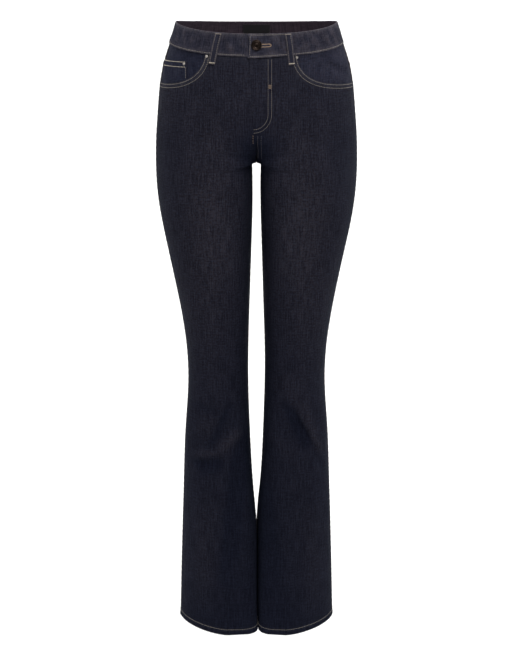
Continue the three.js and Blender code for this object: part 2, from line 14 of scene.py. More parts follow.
import bpy
import numpy as np
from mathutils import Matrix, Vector


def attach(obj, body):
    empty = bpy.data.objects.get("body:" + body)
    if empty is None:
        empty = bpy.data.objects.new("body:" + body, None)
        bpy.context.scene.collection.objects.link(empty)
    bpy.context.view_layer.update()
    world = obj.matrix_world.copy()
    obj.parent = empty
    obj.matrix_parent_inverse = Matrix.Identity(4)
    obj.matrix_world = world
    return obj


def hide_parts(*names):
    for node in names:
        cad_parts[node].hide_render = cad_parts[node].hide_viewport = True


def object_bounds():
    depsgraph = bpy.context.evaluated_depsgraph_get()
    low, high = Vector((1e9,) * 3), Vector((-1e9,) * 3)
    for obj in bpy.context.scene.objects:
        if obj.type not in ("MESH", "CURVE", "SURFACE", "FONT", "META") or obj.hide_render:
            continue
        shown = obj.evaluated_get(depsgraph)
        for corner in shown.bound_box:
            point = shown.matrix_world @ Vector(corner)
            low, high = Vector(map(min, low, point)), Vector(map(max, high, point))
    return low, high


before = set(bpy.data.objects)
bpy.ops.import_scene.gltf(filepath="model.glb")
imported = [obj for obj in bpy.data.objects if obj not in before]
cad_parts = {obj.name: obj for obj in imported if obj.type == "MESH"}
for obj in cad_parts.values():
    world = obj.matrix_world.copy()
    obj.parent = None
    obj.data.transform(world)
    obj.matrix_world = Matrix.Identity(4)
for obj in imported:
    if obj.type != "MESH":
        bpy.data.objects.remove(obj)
cad_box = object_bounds()
METRES = 0.001
print("The frame has", len(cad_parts), "nodes, and is", round(cad_box[1].z - cad_box[0].z, 3), "m tall")

# %% [markdown]
# ## The sizes of the cut
#
# A maker drafts jeans from a few widths taken at set heights: waist, hip, thigh, knee and hem. The same idea
# drives the form here. Each row of the table is one height of the side seam, and smooth curves join the
# rows. A table of named columns is easier to correct than a mesh, because one number changes one measure.

# %% Sizes in millimetres
DENIM, SEAM = 1.5, 0.3
BAND_SEAM, YOKE_SIDE, YOKE_CENTRE = -34.5, -64.0, -94.0
FLY_FOOT, CROTCH_ROW, HEM_TOP, HEM = -166.0, -234.0, -1033.0, -1046.0

# After the row's height: half width, how deep the front and back are, half the gap between the legs, where
# in depth the side and the inseam lie, where across its width a leg is deepest, and the powers that round it
SECTION_COLUMNS = ["side", "front", "back", "gap", "sideY", "inseamY", "middle", "outerRound", "innerRound"]
SECTIONS = [
    [0, 132.2, -92, 96, 7.4, 0, 0, 0.48, 1.2, 0.4],
    [-34.5, 143.5, -97, 103, 7.4, 0, 0, 0.48, 1.2, 0.4],
    [-80, 157, -103, 113, 7.4, 0, 0, 0.48, 1.2, 0.4],
    [-130, 163.5, -107, 121, 7.4, 0, 0, 0.48, 1.2, 0.4],
    [-190, 168.1, -106, 125, 7.4, 0, 0, 0.48, 1.2, 0.42],
    [-240, 169.4, -100.5, 114, 7.4, 0, 0, 0.48, 1.18, 0.48],
    [-291, 166.5, -96, 103, 7.4, 0, 2, 0.48, 1.13, 0.6],
    [-374, 151.9, -88, 89, 9.4, 0, 2, 0.48, 1.06, 0.72],
    [-458, 135, -79, 77, 11.9, 0, 0, 0.48, 1, 0.8],
    [-543, 121.8, -69, 67, 14.6, 0, -3, 0.48, 0.97, 0.84],
    [-608, 118.5, -64, 68, 15, -3, -6, 0.48, 0.95, 0.85],
    [-696, 123.8, -65, 75, 12.2, -9, -11, 0.47, 0.96, 0.82],
    [-807, 128.5, -70, 83, 6, -13, -14, 0.43, 1.03, 0.62],
    [-875, 131.1, -74, 87, 0.8, -14, -15, 0.4, 1.1, 0.47],
    [-951, 133.7, -79, 90, 0.3, -14, -16, 0.38, 1.2, 0.32],
    [-1054, 136.7, -86, 93, 0.15, -14, -16, 0.37, 1.32, 0.13],
]
# After the row's height: how much lower the row runs at the centre, on the front and on the back
DROP_COLUMNS = ["front", "back"]
DROPS = [
    [0, -16, -4.5],
    [-34.5, -17.5, -6],
    [-90, -14, -10],
    [-140, -6, -15],
    [-165, -8, -25],
    [-190, -10.5, -29],
    [-212, -8, -18],
    [-234, 0, 0],
    [-256, 0, 0],
    [-300, 0, 0],
]
# The largest folds: face, leg (+1 is the wearer's left), two ends as x and z, half width, height
FOLDS = [
    ["front", 1, 80, -645, 112, -735, 9, 3.2],
    ["front", 1, 62, -655, 88, -720, 12, -3],
    ["front", 1, 40, -590, 78, -650, 16, 1.6],
    ["front", -1, -62, -725, -26, -690, 11, 2.8],
    ["front", -1, -100, -760, -60, -748, 13, -2.6],
    ["front", -1, -100, -690, -66, -668, 15, 1.8],
    ["front", -1, -24, -700, -54, -960, 13, -3.6],
    ["front", -1, -88, -820, -96, -1000, 22, 2],
    ["front", 1, 16, -800, 30, -1020, 14, -2.4],
    ["front", 1, 98, -830, 104, -1030, 20, 1.8],
    ["back", 1, 105, -560, 36, -600, 10, -3],
    ["back", 1, 100, -622, 30, -640, 11, -3.4],
    ["back", 1, 92, -680, 34, -664, 12, -2.2],
    ["back", -1, -105, -570, -36, -594, 10, -3],
    ["back", -1, -98, -634, -30, -628, 12, -3.4],
    ["back", -1, -90, -672, -38, -692, 11, -2.4],
    ["back", 1, 60, -760, 52, -1010, 20, -2.4],
    ["back", -1, -66, -770, -60, -1010, 20, -2.4],
    ["back", 1, 128, -262, 40, -286, 14, -2.4],
    ["back", -1, -128, -268, -40, -282, 14, -2.4],
]
print("The inside leg is", round((CROTCH_ROW - HEM) / 25.4, 1), "in long")

# %% [markdown]
# ## Curves through the tables
#
# A natural cubic spline passes through every row with no corner, which is what a drafting curve does. It is
# solved once for each column as a small set of linear equations, and then read at any number of heights at
# once, as arrays.

# %% Small helpers on arrays
def mix(a, b, share):
    """The value that lies the given share of the way from a to b."""
    return a + (b - a) * share


def smooth(start, end, v):
    """0 before start, 1 after end, and three shares squared less two shares cubed between them."""
    share = np.clip((v - start) / (end - start), 0, 1)
    return share * share * (3 - 2 * share)


def signed_power(v, power):
    """The size of v to a power, with v's own sign."""
    return np.sign(v) * np.abs(v) ** power


def bell(v, width):
    """1 at v = 0, falling off on both sides as the square of v over width."""
    return np.exp(-((v / width) ** 2))


def unit(vectors):
    """Vectors divided by their lengths."""
    return vectors / np.linalg.norm(vectors, axis=-1, keepdims=True)


def spline(heights, values):
    """A natural cubic through a column, as a function of height. On each stretch the curve is the straight
    line between its ends plus a cubic share of the bend at each end; the bends are solved together so that
    slopes run on from one stretch to the next."""
    down = -np.array(heights, float)
    value = np.array(values, float)
    step = np.diff(down)
    slope = np.diff(value) / step
    inner = np.arange(1, len(down) - 1)
    equations = np.eye(len(down))
    equations[inner, inner - 1] = step[:-1]
    equations[inner, inner] = 2 * (step[:-1] + step[1:])
    equations[inner, inner + 1] = step[1:]
    change = np.zeros(len(down))
    change[inner] = 6 * np.diff(slope)
    bend = np.linalg.solve(equations, change)

    def curve(row):
        at = -np.asarray(row, float)
        i = np.clip(np.searchsorted(down, at) - 1, 0, len(down) - 2)
        b = (at - down[i]) / step[i]
        a = 1 - b
        bends = (a**3 - a) * bend[i] + (b**3 - b) * bend[i + 1]
        return a * value[i] + b * value[i + 1] + bends * step[i] ** 2 / 6

    return curve


def column_splines(names, rows):
    """One spline for each named column of a table whose first column is the height."""
    table = np.array(rows, float)
    return {name: spline(table[:, 0], table[:, i + 1]) for i, name in enumerate(names)}


section = column_splines(SECTION_COLUMNS, SECTIONS)
drop = column_splines(DROP_COLUMNS, DROPS)
print("Half the hip is", round(float(section["side"](-215.0)), 1), "mm wide")

# %% [markdown]
# ## The outside of the cloth
#
# Above the crotch the jeans are one ring round the hips, and below it one ring round each leg. Both rings
# are worked out for every point, and a share that grows towards the crotch mixes them, so the seat and the
# thighs run into each other with no step. u goes from the side seam (0) to the centre seam or inseam (1),
# and row is the height of the side seam. This is the surface that the plain model was made from too, but
# for the top of the gap between the legs and the hems' inner corners, which are squarer here.

# %% The skin
HIP_ROUND = 0.88
FORK_TOP = {"front": -165.0, "back": -145.0}
FORK_BIAS = 1.3
GATHER_TOP, GATHER_LEAD = -105.0, 10.0
GAP_FROM, GAP_FULL, LEAST_GAP = -180.0, -300.0, 0.15
ARCH_DEPTH, ARCH_POWER = 18.0, 8
FORK_LIFT, FORK_SEAM_LIFT, LIFT_REACH = 6.5, 1.3, 24.0
LIFT_FROM, LIFT_FULL = 0.6, 0.88
DROP_EASE_HIP, DROP_EASE_LEG = 1.3, 11.3
FOLD_MARGIN = 0.15
PRESSED_SLOPE, FLARE_FROM, FLARE_TO, PRESSED_AT_HEM = 0.22, -740.0, -900.0, 0.3
HEM_DIPS, HEM_DIP_FROM = {"front": 11.5, "back": 4.0}, -960.0
HEM_DIP_POWERS, HEM_RISES = {"front": 0.35, "back": 1.0}, {"front": 0.5, "back": 0.0}
LAP_BY, LAP_DEPTH, LAP_WIDTH, LAP_FROM, LAP_TO = 3.0, 80.0, 45.0, -800.0, -900.0
OUTWARD = {"front": -1, "back": 1}
QUARTER = math.pi / 2


def fork_share(face, row):
    """0 on the hips and 1 on the legs: how far the row has come from the fork's top to the crotch."""
    top = FORK_TOP[face]
    return smooth(0, 1, np.clip((top - row) / (top - CROTCH_ROW), 0, 1) ** FORK_BIAS)


def deepest_x(row):
    """Where a leg is deepest: the middle share of the way from half the gap to the side."""
    gap = section["gap"](row) * smooth(GAP_FROM, GAP_FULL, row)
    return mix(gap, section["side"](row), section["middle"](row))


def gathering(face, row):
    """The power that draws the columns inwards, so that the middle one lies where the leg is deepest."""
    turn = np.arccos((deepest_x(row) / section["side"](row)) ** (1 / HIP_ROUND))
    return mix(1, -np.log2(1 - turn / QUARTER), smooth(GATHER_TOP, FORK_TOP[face] - GATHER_LEAD, row))


def inner_edge(row):
    """A leg's inner edge: the centre line down to the crotch, then a quarter of a circle whose squares are
    higher powers, which is nearly a square corner, out to half the gap."""
    down = np.clip((CROTCH_ROW - row) / ARCH_DEPTH, 0, 1)
    return np.maximum(section["gap"](row), LEAST_GAP) * (1 - (1 - down) ** ARCH_POWER) ** (1 / ARCH_POWER)


def fold_height(folds, face, x, z):
    """The sum over the folds of height, times a bell of the distance from the fold's line over its width,
    times a taper at both ends of the line."""
    height = np.zeros_like(x)
    for fold_face, leg, x0, z0, x1, z1, width, tall in folds:
        if fold_face != face:
            continue
        dx, dz = x1 - x0, z1 - z0
        along = ((x - x0) * dx + (z - z0) * dz) / (dx * dx + dz * dz)
        nearest = np.clip(along, 0, 1)
        away = np.hypot(x - x0 - nearest * dx, z - z0 - nearest * dz)
        taper = smooth(-0.25, 0.3, along) * smooth(1.25, 0.7, along)
        height += np.where(leg * x >= 0, tall * taper * bell(away, width), 0)
    return height


def skin(leg, face, u, row):
    """Points on the outside, as x, y and z in the last axis. Each ring is an ellipse whose cosine and sine
    are raised to a power that makes it squarer or sharper."""
    u, row = np.broadcast_arrays(np.asarray(u, float), np.asarray(row, float))
    side, side_y = section["side"](row), section["sideY"](row)
    depth, fork = section[face](row), fork_share(face, row)
    hip_turn = QUARTER * (1 - signed_power(1 - u, gathering(face, row)))
    hip_x = side * signed_power(np.cos(hip_turn), HIP_ROUND)
    hip_y = side_y + (depth - side_y) * signed_power(np.sin(hip_turn), HIP_ROUND)

    turn, outer, deepest = math.pi * u, u < 0.5, deepest_x(row)
    roundness = np.where(outer, section["outerRound"](row), section["innerRound"](row))
    edge_x = np.where(outer, side, inner_edge(row))
    edge_y = np.where(outer, side_y, section["inseamY"](row))
    pressed = PRESSED_SLOPE * smooth(FLARE_FROM, FLARE_TO, row) * np.abs(np.cos(turn)) ** (2 * roundness)
    pressed = pressed * mix(1, PRESSED_AT_HEM, smooth(HEM_DIP_FROM, HEM, row))
    slope = np.where(outer, 1, 1 - pressed)
    leg_x = deepest + np.abs(edge_x - deepest) * signed_power(np.cos(turn), roundness)
    leg_y = edge_y + (depth - edge_y) * signed_power(np.sin(turn), roundness) * slope

    x = leg * mix(hip_x, leg_x, fork)
    drop_here = np.where(row > DROPS[-1][0], drop[face](row), 0)
    ease = signed_power(np.sin(np.minimum(hip_turn, QUARTER)), mix(DROP_EASE_HIP, DROP_EASE_LEG, fork))
    inwards = np.where(outer, 0, np.abs(signed_power(np.cos(turn), roundness)))
    dip_shape = np.sin(math.pi * np.clip(u, 0, 1)) ** np.where(outer, 1.0, HEM_DIP_POWERS[face])
    dip_shape = dip_shape * (1 - HEM_RISES[face] * inwards**4)
    hem_dip = HEM_DIPS[face] * dip_shape * smooth(HEM_DIP_FROM, HEM, row)
    lift = smooth(LIFT_FROM, LIFT_FULL, u) * mix(FORK_LIFT, FORK_SEAM_LIFT, smooth(LIFT_FULL, 1, u))
    lift = lift * bell(row - CROTCH_ROW, LIFT_REACH)
    z = row + drop_here * ease - hem_dip + lift
    clear = smooth(0, FOLD_MARGIN, u) * smooth(1, 1 - FOLD_MARGIN, u)
    y = mix(hip_y, leg_y, fork) + OUTWARD[face] * clear * fold_height(FOLDS, face, x, z)
    lap = LAP_BY * smooth(LAP_FROM, LAP_TO, row) * (y / LAP_DEPTH) * bell(x, LAP_WIDTH)
    return np.stack([x - lap, y, z], axis=-1)


U_STEP, ROW_STEP = 0.002, 0.8


def normals(leg, face, u, row):
    """Unit normals of the skin: the cross product of a short step down and a short step across."""
    u, row = np.broadcast_arrays(np.asarray(u, float), np.asarray(row, float))
    across = skin(leg, face, u + U_STEP, row) - skin(leg, face, u - U_STEP, row)
    up = skin(leg, face, u, row + ROW_STEP) - skin(leg, face, u, row - ROW_STEP)
    return unit(-leg * OUTWARD[face] * np.cross(up, across))


def over(leg, face, u, row, height):
    """The skin's points moved out along their normals by a height."""
    return skin(leg, face, u, row) + normals(leg, face, u, row) * np.asarray(height)[..., None]


def on_panel(leg, face, u, row, height):
    """The same for a sewn panel, kept on its own side of the centre. Neighbours meet in the seam's line,
    because sewing closes the gap that the plain model leaves."""
    point = over(leg, face, u, row, height)
    above_crotch = (np.asarray(u) <= 1) & (np.asarray(row) > CROTCH_ROW - 0.5)
    at_centre = above_crotch & (np.asarray(u) == 1)
    own_side = np.where(at_centre, 0, leg * np.maximum(leg * point[..., 0], 0))
    point[..., 0] = np.where(above_crotch, own_side, point[..., 0])
    return point


def u_at_x(row, x, face="front"):
    """The u at which the ring round the hips is a distance x from the centre plane."""
    turn = np.arccos(signed_power(x / section["side"](row), 1 / HIP_ROUND))
    return 1 - signed_power(1 - turn / QUARTER, 1 / gathering(face, row))


def locate(leg, face, x, z):
    """u and row of a place that is known by its x and z, as seen from the front or back. u is halved in on
    at a fixed row, then the row moves by what z is still out, and both are repeated."""
    x, z = np.broadcast_arrays(np.asarray(x, float), np.asarray(z, float))
    row = z.copy()
    for _ in range(8):
        low, high = np.zeros_like(x), np.ones_like(x) * 1.08
        for _ in range(22):
            u = (low + high) / 2
            beyond = leg * skin(leg, face, u, row)[..., 0] > leg * x
            low, high = np.where(beyond, u, low), np.where(beyond, high, u)
        row = row + z - skin(leg, face, u, row)[..., 2]
    return u, row


found = skin(1, "front", *locate(1, "front", 60.0, -150.0))
print("The place at x 60, z -150 is found again at", np.round(found, 2))

# %% [markdown]
# ## Grain
#
# Denim's warp threads run straight down a panel from waist to hem, whatever the shape of the panel's edges.
# So the cloth's own coordinates are distances: across is measured along each row from a plumb line down the
# middle of the leg, and down is the height. They become the UV map, in metres, and the weave is drawn on it.

# %% Cloth coordinates
GRAIN_US = np.linspace(-0.02, 1.1, 57)
GRAIN_ROWS = np.linspace(0, HEM - 4, 210)
PLUMB_X = 68.0


def grain_table(face):
    """Distance across from the plumb line, on a coarse grid: the running sum of the steps between its
    points, less the sum at the place where x passes the line."""
    points = skin(1, face, GRAIN_US[None, :], GRAIN_ROWS[:, None])
    steps = np.linalg.norm(np.diff(points, axis=1), axis=-1)
    across = np.concatenate([np.zeros((len(GRAIN_ROWS), 1)), np.cumsum(steps, axis=1)], axis=1)
    x = points[..., 0]
    after = np.argmax(x < PLUMB_X, axis=1)[:, None]
    x0, x1 = np.take_along_axis(x, after - 1, 1), np.take_along_axis(x, after, 1)
    a0, a1 = np.take_along_axis(across, after - 1, 1), np.take_along_axis(across, after, 1)
    return across - mix(a0, a1, (x0 - PLUMB_X) / (x0 - x1))


GRAIN = {face: grain_table(face) for face in ("front", "back")}


def across_at(face, u, row):
    """The grain table read between its places, as a weighted mean of the four nearest."""
    i = np.clip((u - GRAIN_US[0]) / (GRAIN_US[1] - GRAIN_US[0]), 0, len(GRAIN_US) - 1.001)
    j = np.clip((row - GRAIN_ROWS[0]) / (GRAIN_ROWS[1] - GRAIN_ROWS[0]), 0, len(GRAIN_ROWS) - 1.001)
    i0, j0 = i.astype(int), j.astype(int)
    fi, fj, table = i - i0, j - j0, GRAIN[face]
    upper = mix(table[j0, i0], table[j0, i0 + 1], fi)
    return mix(upper, mix(table[j0 + 1, i0], table[j0 + 1, i0 + 1], fi), fj)


def cloth_uv(face, u, row):
    """UV in metres: distance across the cloth, and height."""
    u, row = np.broadcast_arrays(u, row)
    return np.stack([across_at(face, u, row), skin(1, face, u, row)[..., 2]], axis=-1) * METRES


def from_side(face, u, row):
    """Distance over the cloth from the side seam, in millimetres."""
    return across_at(face, u, row) - across_at(face, np.zeros_like(u), row)


def from_centre(face, u, row):
    """Distance over the cloth from the centre seam or the inseam, in millimetres."""
    return across_at(face, np.ones_like(u), row) - across_at(face, u, row)


knee = float(from_side("front", np.array(1.0), np.array(-600.0)))
print("A front leg is", round(knee), "mm across at the knee")

# %% [markdown]
# ## A shell of cloth
#
# A piece of cloth is a closed shell: an outer grid of points, an inner grid one cloth's thickness behind it,
# and a rim that joins their borders. Making both sides and the rim gives each cut edge its real thickness,
# which a single sheet can't show. The grid may have a hole, such as a buttonhole, and the rim goes round
# that too. Each point carries how rubbed it is, how faded it is with painted shade in the same share, and
# whether it is on the inside.

# %% From grids to meshes
def mesh_object(name, points, faces, material, uv=None, values=None, sharp=40):
    """A mesh object in metres from points in millimetres, turned so that its faces point outwards: the sum
    of the volumes of the tetrahedra from the origin to each triangle has to come out positive."""
    used, faces = np.unique(faces, return_inverse=True)
    faces = faces.reshape(-1, 4)
    points = points[used]
    a, b, c, d = (points[faces[:, k]] for k in range(4))
    volume = np.einsum("ij,ij->", a, np.cross(b, c)) + np.einsum("ij,ij->", a, np.cross(c, d))
    if volume < 0:
        faces = faces[:, ::-1]
    mesh = bpy.data.meshes.new(name)
    mesh.vertices.add(len(points))
    mesh.vertices.foreach_set("co", (points * METRES).astype(np.float32).ravel())
    mesh.loops.add(faces.size)
    mesh.loops.foreach_set("vertex_index", faces.astype(np.int32).ravel())
    mesh.polygons.add(len(faces))
    mesh.polygons.foreach_set("loop_start", np.arange(0, faces.size, 4, dtype=np.int32))
    mesh.update(calc_edges=True)
    mesh.validate()
    mesh.polygons.foreach_set("use_smooth", np.ones(len(mesh.polygons), bool))
    if uv is not None:
        corner = np.empty(len(mesh.loops), np.int32)
        mesh.loops.foreach_get("vertex_index", corner)
        mesh.uv_layers.new(name="cloth").data.foreach_set("uv", uv[used][corner].astype(np.float32).ravel())
    for label, numbers in (values or {}).items():
        spot = mesh.attributes.new(label, "FLOAT", "POINT")
        spot.data.foreach_set("value", numbers[used].astype(np.float32))
    mesh.set_sharp_from_angle(angle=math.radians(sharp))
    mesh.materials.append(material)
    made = bpy.data.objects.new(name, mesh)
    bpy.context.scene.collection.objects.link(made)
    return made


def shell(name, outer, inner, uv, wear, material, keep=None, fade_and_shade=0.0):
    """A closed wall between two grids of points of one shape. An edge that only one kept face uses is a
    border, and gets a rim face between the two sides."""
    rows, columns = outer.shape[:2]
    count = rows * columns
    index = np.arange(count).reshape(rows, columns)
    quads = np.stack([index[:-1, :-1], index[:-1, 1:], index[1:, 1:], index[1:, :-1]], axis=-1)
    quads = quads.reshape(-1, 4) if keep is None else quads[keep]
    edges = np.stack([quads, np.roll(quads, -1, axis=1)], axis=-1).reshape(-1, 2)
    forward, backward = edges[:, 0] * count + edges[:, 1], edges[:, 1] * count + edges[:, 0]
    border = edges[~np.isin(backward, forward)]
    rim = np.stack([border[:, 1], border[:, 0], border[:, 0] + count, border[:, 1] + count], axis=-1)
    faces = np.concatenate([quads, quads[:, ::-1] + count, rim])
    points = np.concatenate([outer.reshape(-1, 3), inner.reshape(-1, 3)])
    values = {}
    # fade_and_shade is faded dye and painted shade in one share.
    for label, share in (("wear", wear), ("fade_and_shade", fade_and_shade)):
        values[label] = np.tile(np.broadcast_to(share, (rows, columns)).ravel(), 2)
    values["inside"] = np.repeat([0.0, 1.0], count)
    return mesh_object(name, points, faces, material, np.tile(uv.reshape(-1, 2), (2, 1)), values)


def finish_cloth(made, node):
    """The piece stands for its node, whose plain part is hidden, and rides with the body."""
    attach(made, "root")
    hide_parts(node)


# %% [markdown]
# ## Denim
#
# Denim is a twill: each weft thread passes over one warp and under three, and the steps make fine diagonal
# ridges. The warp is dyed dark indigo over a pale core, and its thick and thin places show as short
# vertical streaks. Both are drawn on the cloth's own coordinates, so they follow every panel. Edges, hems
# and seams rub paler first, along their ridges. The two effects are node groups, so that the panels, the
# waistband and the loops share them with their own values.

# %% Node helpers
def linear(red, green, blue):
    """A colour as it looks on screen, from 0 to 255, turned into the linear values that shaders use."""
    share = np.array([red, green, blue]) / 255
    low, high = share / 12.92, ((share + 0.055) / 1.055) ** 2.4
    return (*np.where(share <= 0.04045, low, high), 1.0)


def add_node(tree, kind, **settings):
    """A node with its own settings, such as operation or data_type."""
    made = tree.nodes.new(kind)
    for key, value in settings.items():
        setattr(made, key, value)
    return made


def join(tree, source, target):
    """source feeds target; a plain number or tuple is set on target's own socket."""
    if isinstance(source, bpy.types.NodeSocket):
        tree.links.new(source, target)
    else:
        target.default_value = source


def calculate(tree, operation, a, b=0.0, c=0.0):
    """One Math node, and its output."""
    made = add_node(tree, "ShaderNodeMath", operation=operation)
    for source, socket in zip((a, b, c), made.inputs):
        join(tree, source, socket)
    return made.outputs[0]


def scaled(tree, vector, factors):
    """The vector with each of its parts multiplied by a factor."""
    made = add_node(tree, "ShaderNodeVectorMath", operation="MULTIPLY")
    join(tree, vector, made.inputs[0])
    made.inputs[1].default_value = factors
    return made.outputs[0]


def noise(tree, vector, scale=1.0, detail=2.0, roughness=0.5):
    """A Noise Texture's value on a vector."""
    made = add_node(tree, "ShaderNodeTexNoise")
    join(tree, vector, made.inputs["Vector"])
    made.inputs["Scale"].default_value = scale
    made.inputs["Detail"].default_value = detail
    made.inputs["Roughness"].default_value = roughness
    return made.outputs["Fac"]


def remap(tree, value, low, high, to_low=0.0, to_high=1.0):
    """A Map Range node that keeps its result between its ends."""
    made = add_node(tree, "ShaderNodeMapRange")
    for source, socket in zip((value, low, high, to_low, to_high), made.inputs):
        join(tree, source, socket)
    return made.outputs[0]


def attribute(tree, label):
    """The number that each of the mesh's points carries under a name."""
    return add_node(tree, "ShaderNodeAttribute", attribute_name=label).outputs["Fac"]


def blend(tree, factor, a, b):
    """A Mix node of two colours."""
    made = add_node(tree, "ShaderNodeMix", data_type="RGBA")
    join(tree, factor, made.inputs["Factor"])
    join(tree, a, made.inputs["A"])
    join(tree, b, made.inputs["B"])
    return made.outputs["Result"]


def new_group(name, inputs, outputs):
    """An empty node group with named sockets, and its input and output nodes."""
    group = bpy.data.node_groups.new(name, "ShaderNodeTree")
    for label, kind in inputs.items():
        group.interface.new_socket(label, in_out="INPUT", socket_type=kind)
    for label, kind in outputs.items():
        group.interface.new_socket(label, in_out="OUTPUT", socket_type=kind)
    return group, group.nodes.new("NodeGroupInput"), group.nodes.new("NodeGroupOutput")


def use_group(tree, group, **values):
    """A group placed in a material, with its own values by input name."""
    made = tree.nodes.new("ShaderNodeGroup")
    made.node_tree = group
    for label, source in values.items():
        join(tree, source, made.inputs[label])
    return made.outputs


print("Screen grey 128 is", round(float(linear(128, 128, 128)[0]), 3), "in linear light")

# %% [markdown]
# ## The weave as a node group
#
# A group is built once and placed in each material with its own values, so the panels and the waistband
# keep one weave. It puts out plain values: a height for the bump, and streaks and flecks that mix two
# blues. A picture of denim would be quicker, but it blurs close up and brings its own light with it.

# %% The twill group
def twill_group():
    """Weave and slub. Height is the diagonal ridges plus thread to thread difference, and Streaks is long
    thin noise down the warp with a little across the weft."""
    group, given, result = new_group(
        "Twill weave",
        {"Cloth": "NodeSocketVector", "Pitch": "NodeSocketFloat"},
        {"Height": "NodeSocketFloat", "Streaks": "NodeSocketFloat", "Flecks": "NodeSocketFloat"},
    )
    cloth = given.outputs["Cloth"]
    parts = group.nodes.new("ShaderNodeSeparateXYZ")
    join(group, cloth, parts.inputs[0])
    diagonal = calculate(group, "ADD", parts.outputs[0], parts.outputs[1])
    angle = calculate(group, "MULTIPLY", diagonal, 2 * math.pi)
    wave = calculate(group, "SINE", calculate(group, "DIVIDE", angle, given.outputs["Pitch"]))
    ridge = calculate(group, "MULTIPLY_ADD", wave, 0.5, 0.5)
    warp = noise(group, scaled(group, cloth, (620, 34, 1)), detail=3)
    fine_warp = noise(group, scaled(group, cloth, (1500, 140, 1)), detail=1)
    weft = noise(group, scaled(group, cloth, (60, 720, 1)), detail=2)
    streaks = calculate(group, "MULTIPLY_ADD", weft, 0.38, calculate(group, "MULTIPLY", warp, 0.62))
    flecks = noise(group, scaled(group, cloth, (430, 260, 1)), detail=4, roughness=0.7)
    height = calculate(group, "MULTIPLY_ADD", ridge, 0.55, calculate(group, "MULTIPLY", fine_warp, 0.8))
    join(group, height, result.inputs["Height"])
    join(group, streaks, result.inputs["Streaks"])
    join(group, flecks, result.inputs["Flecks"])
    return group


def rub_group():
    """Edge wear. The worn share of a point is broken up by patches a few millimetres long, so that only
    the ridges of a seam turn pale."""
    group, given, result = new_group(
        "Rubbed edges",
        {"Cloth": "NodeSocketVector", "Wear": "NodeSocketFloat"},
        {"Mask": "NodeSocketFloat"},
    )
    patches = noise(group, scaled(group, given.outputs["Cloth"], (170, 110, 1)), detail=3, roughness=0.6)
    broken = remap(group, patches, 0.38, 0.62, 0.25, 1.0)
    join(group, calculate(group, "MULTIPLY", broken, given.outputs["Wear"]), result.inputs["Mask"])
    return group


TWILL = twill_group()
RUBBED = rub_group()
print("Groups:", TWILL.name, "and", RUBBED.name)

# %% [markdown]
# ## The denim's colours
#
# Both groups feed one Principled BSDF. Wear, fade with painted shade in it, and the inside are numbers that
# each point of the mesh carries, so they follow the leg's shape and never the camera. Three denims share
# this
# recipe: the panels', the facings', which is bluer, and the waistband's, which is paler.

# %% The denim materials
TWILL_PITCH, RELIEF_DEPTH = 0.0012, 0.0004
FADED_WARM, FADED_BLUE = (100, 86, 82), (80, 86, 104)
RUBBED_TONE = (88, 86, 92)


def denim(name, deep, pale, rubbed, inner):
    """Dark twill: streaks and flecks mix a deep and a pale indigo, faded parts and rubbed edges go paler,
    the painted shade in the fade share stays darker, and the inside has its own duller tone. Sheen stands
    for the fuzz on the cloth."""
    material = bpy.data.materials.new(name)
    material.use_nodes = True
    tree = material.node_tree
    shader = tree.nodes["Principled BSDF"]
    cloth = add_node(tree, "ShaderNodeUVMap", uv_map="cloth").outputs[0]
    wear, fade_and_shade, inside = (attribute(tree, label) for label in ("wear", "fade_and_shade", "inside"))
    weave = use_group(tree, TWILL, Cloth=cloth, Pitch=TWILL_PITCH)
    mask = use_group(tree, RUBBED, Cloth=cloth, Wear=wear)["Mask"]
    streaks = remap(tree, weave["Streaks"], 0.36, 0.64)
    flecks = remap(tree, weave["Flecks"], 0.42, 0.66)
    tone = calculate(tree, "MULTIPLY_ADD", flecks, 0.4, calculate(tree, "MULTIPLY", streaks, 0.6))
    cloud = noise(tree, scaled(tree, cloth, (26, 11, 1)), detail=2)
    tone = calculate(tree, "ADD", remap(tree, cloud, 0.3, 0.7, -0.07, 0.07), tone)
    colour = blend(tree, tone, linear(*deep), linear(*pale))
    # The fade share carries faded dye and painted shade together.
    uneven = calculate(tree, "MULTIPLY", fade_and_shade, remap(tree, tone, 0.2, 0.8, 0.45, 1.55))
    faded = blend(tree, flecks, linear(*FADED_WARM), linear(*FADED_BLUE))
    colour = blend(tree, uneven, colour, faded)
    colour = blend(tree, mask, colour, linear(*rubbed))
    dull = blend(tree, calculate(tree, "MULTIPLY", streaks, 0.6), linear(*inner), linear(*deep))
    colour = blend(tree, inside, colour, dull)
    join(tree, colour, shader.inputs["Base Color"])
    join(tree, remap(tree, streaks, 0, 1, 0.95, 0.82), shader.inputs["Roughness"])
    relief = add_node(tree, "ShaderNodeBump")
    relief.inputs["Strength"].default_value = 0.35
    relief.inputs["Distance"].default_value = RELIEF_DEPTH
    join(tree, calculate(tree, "MULTIPLY_ADD", streaks, 0.6, weave["Height"]), relief.inputs["Height"])
    join(tree, relief.outputs[0], shader.inputs["Normal"])
    shader.inputs["Sheen Weight"].default_value = 0.005
    shader.inputs["Sheen Roughness"].default_value = 0.4
    shader.inputs["Sheen Tint"].default_value = (0.4, 0.55, 1, 1)
    shader.inputs["Specular IOR Level"].default_value = 0.04
    return material


INDIGO = denim("indigo denim", (8, 10, 20), (27, 30, 43), RUBBED_TONE, (60, 52, 54))
NAVY = denim("facing denim", (7, 11, 25), (26, 32, 50), RUBBED_TONE, (60, 52, 54))
BAND_INDIGO = denim("waistband denim", (17, 17, 26), (50, 50, 62), (112, 106, 110), (64, 54, 62))
print("Materials:", ", ".join(made.name for made in (INDIGO, NAVY, BAND_INDIGO)))

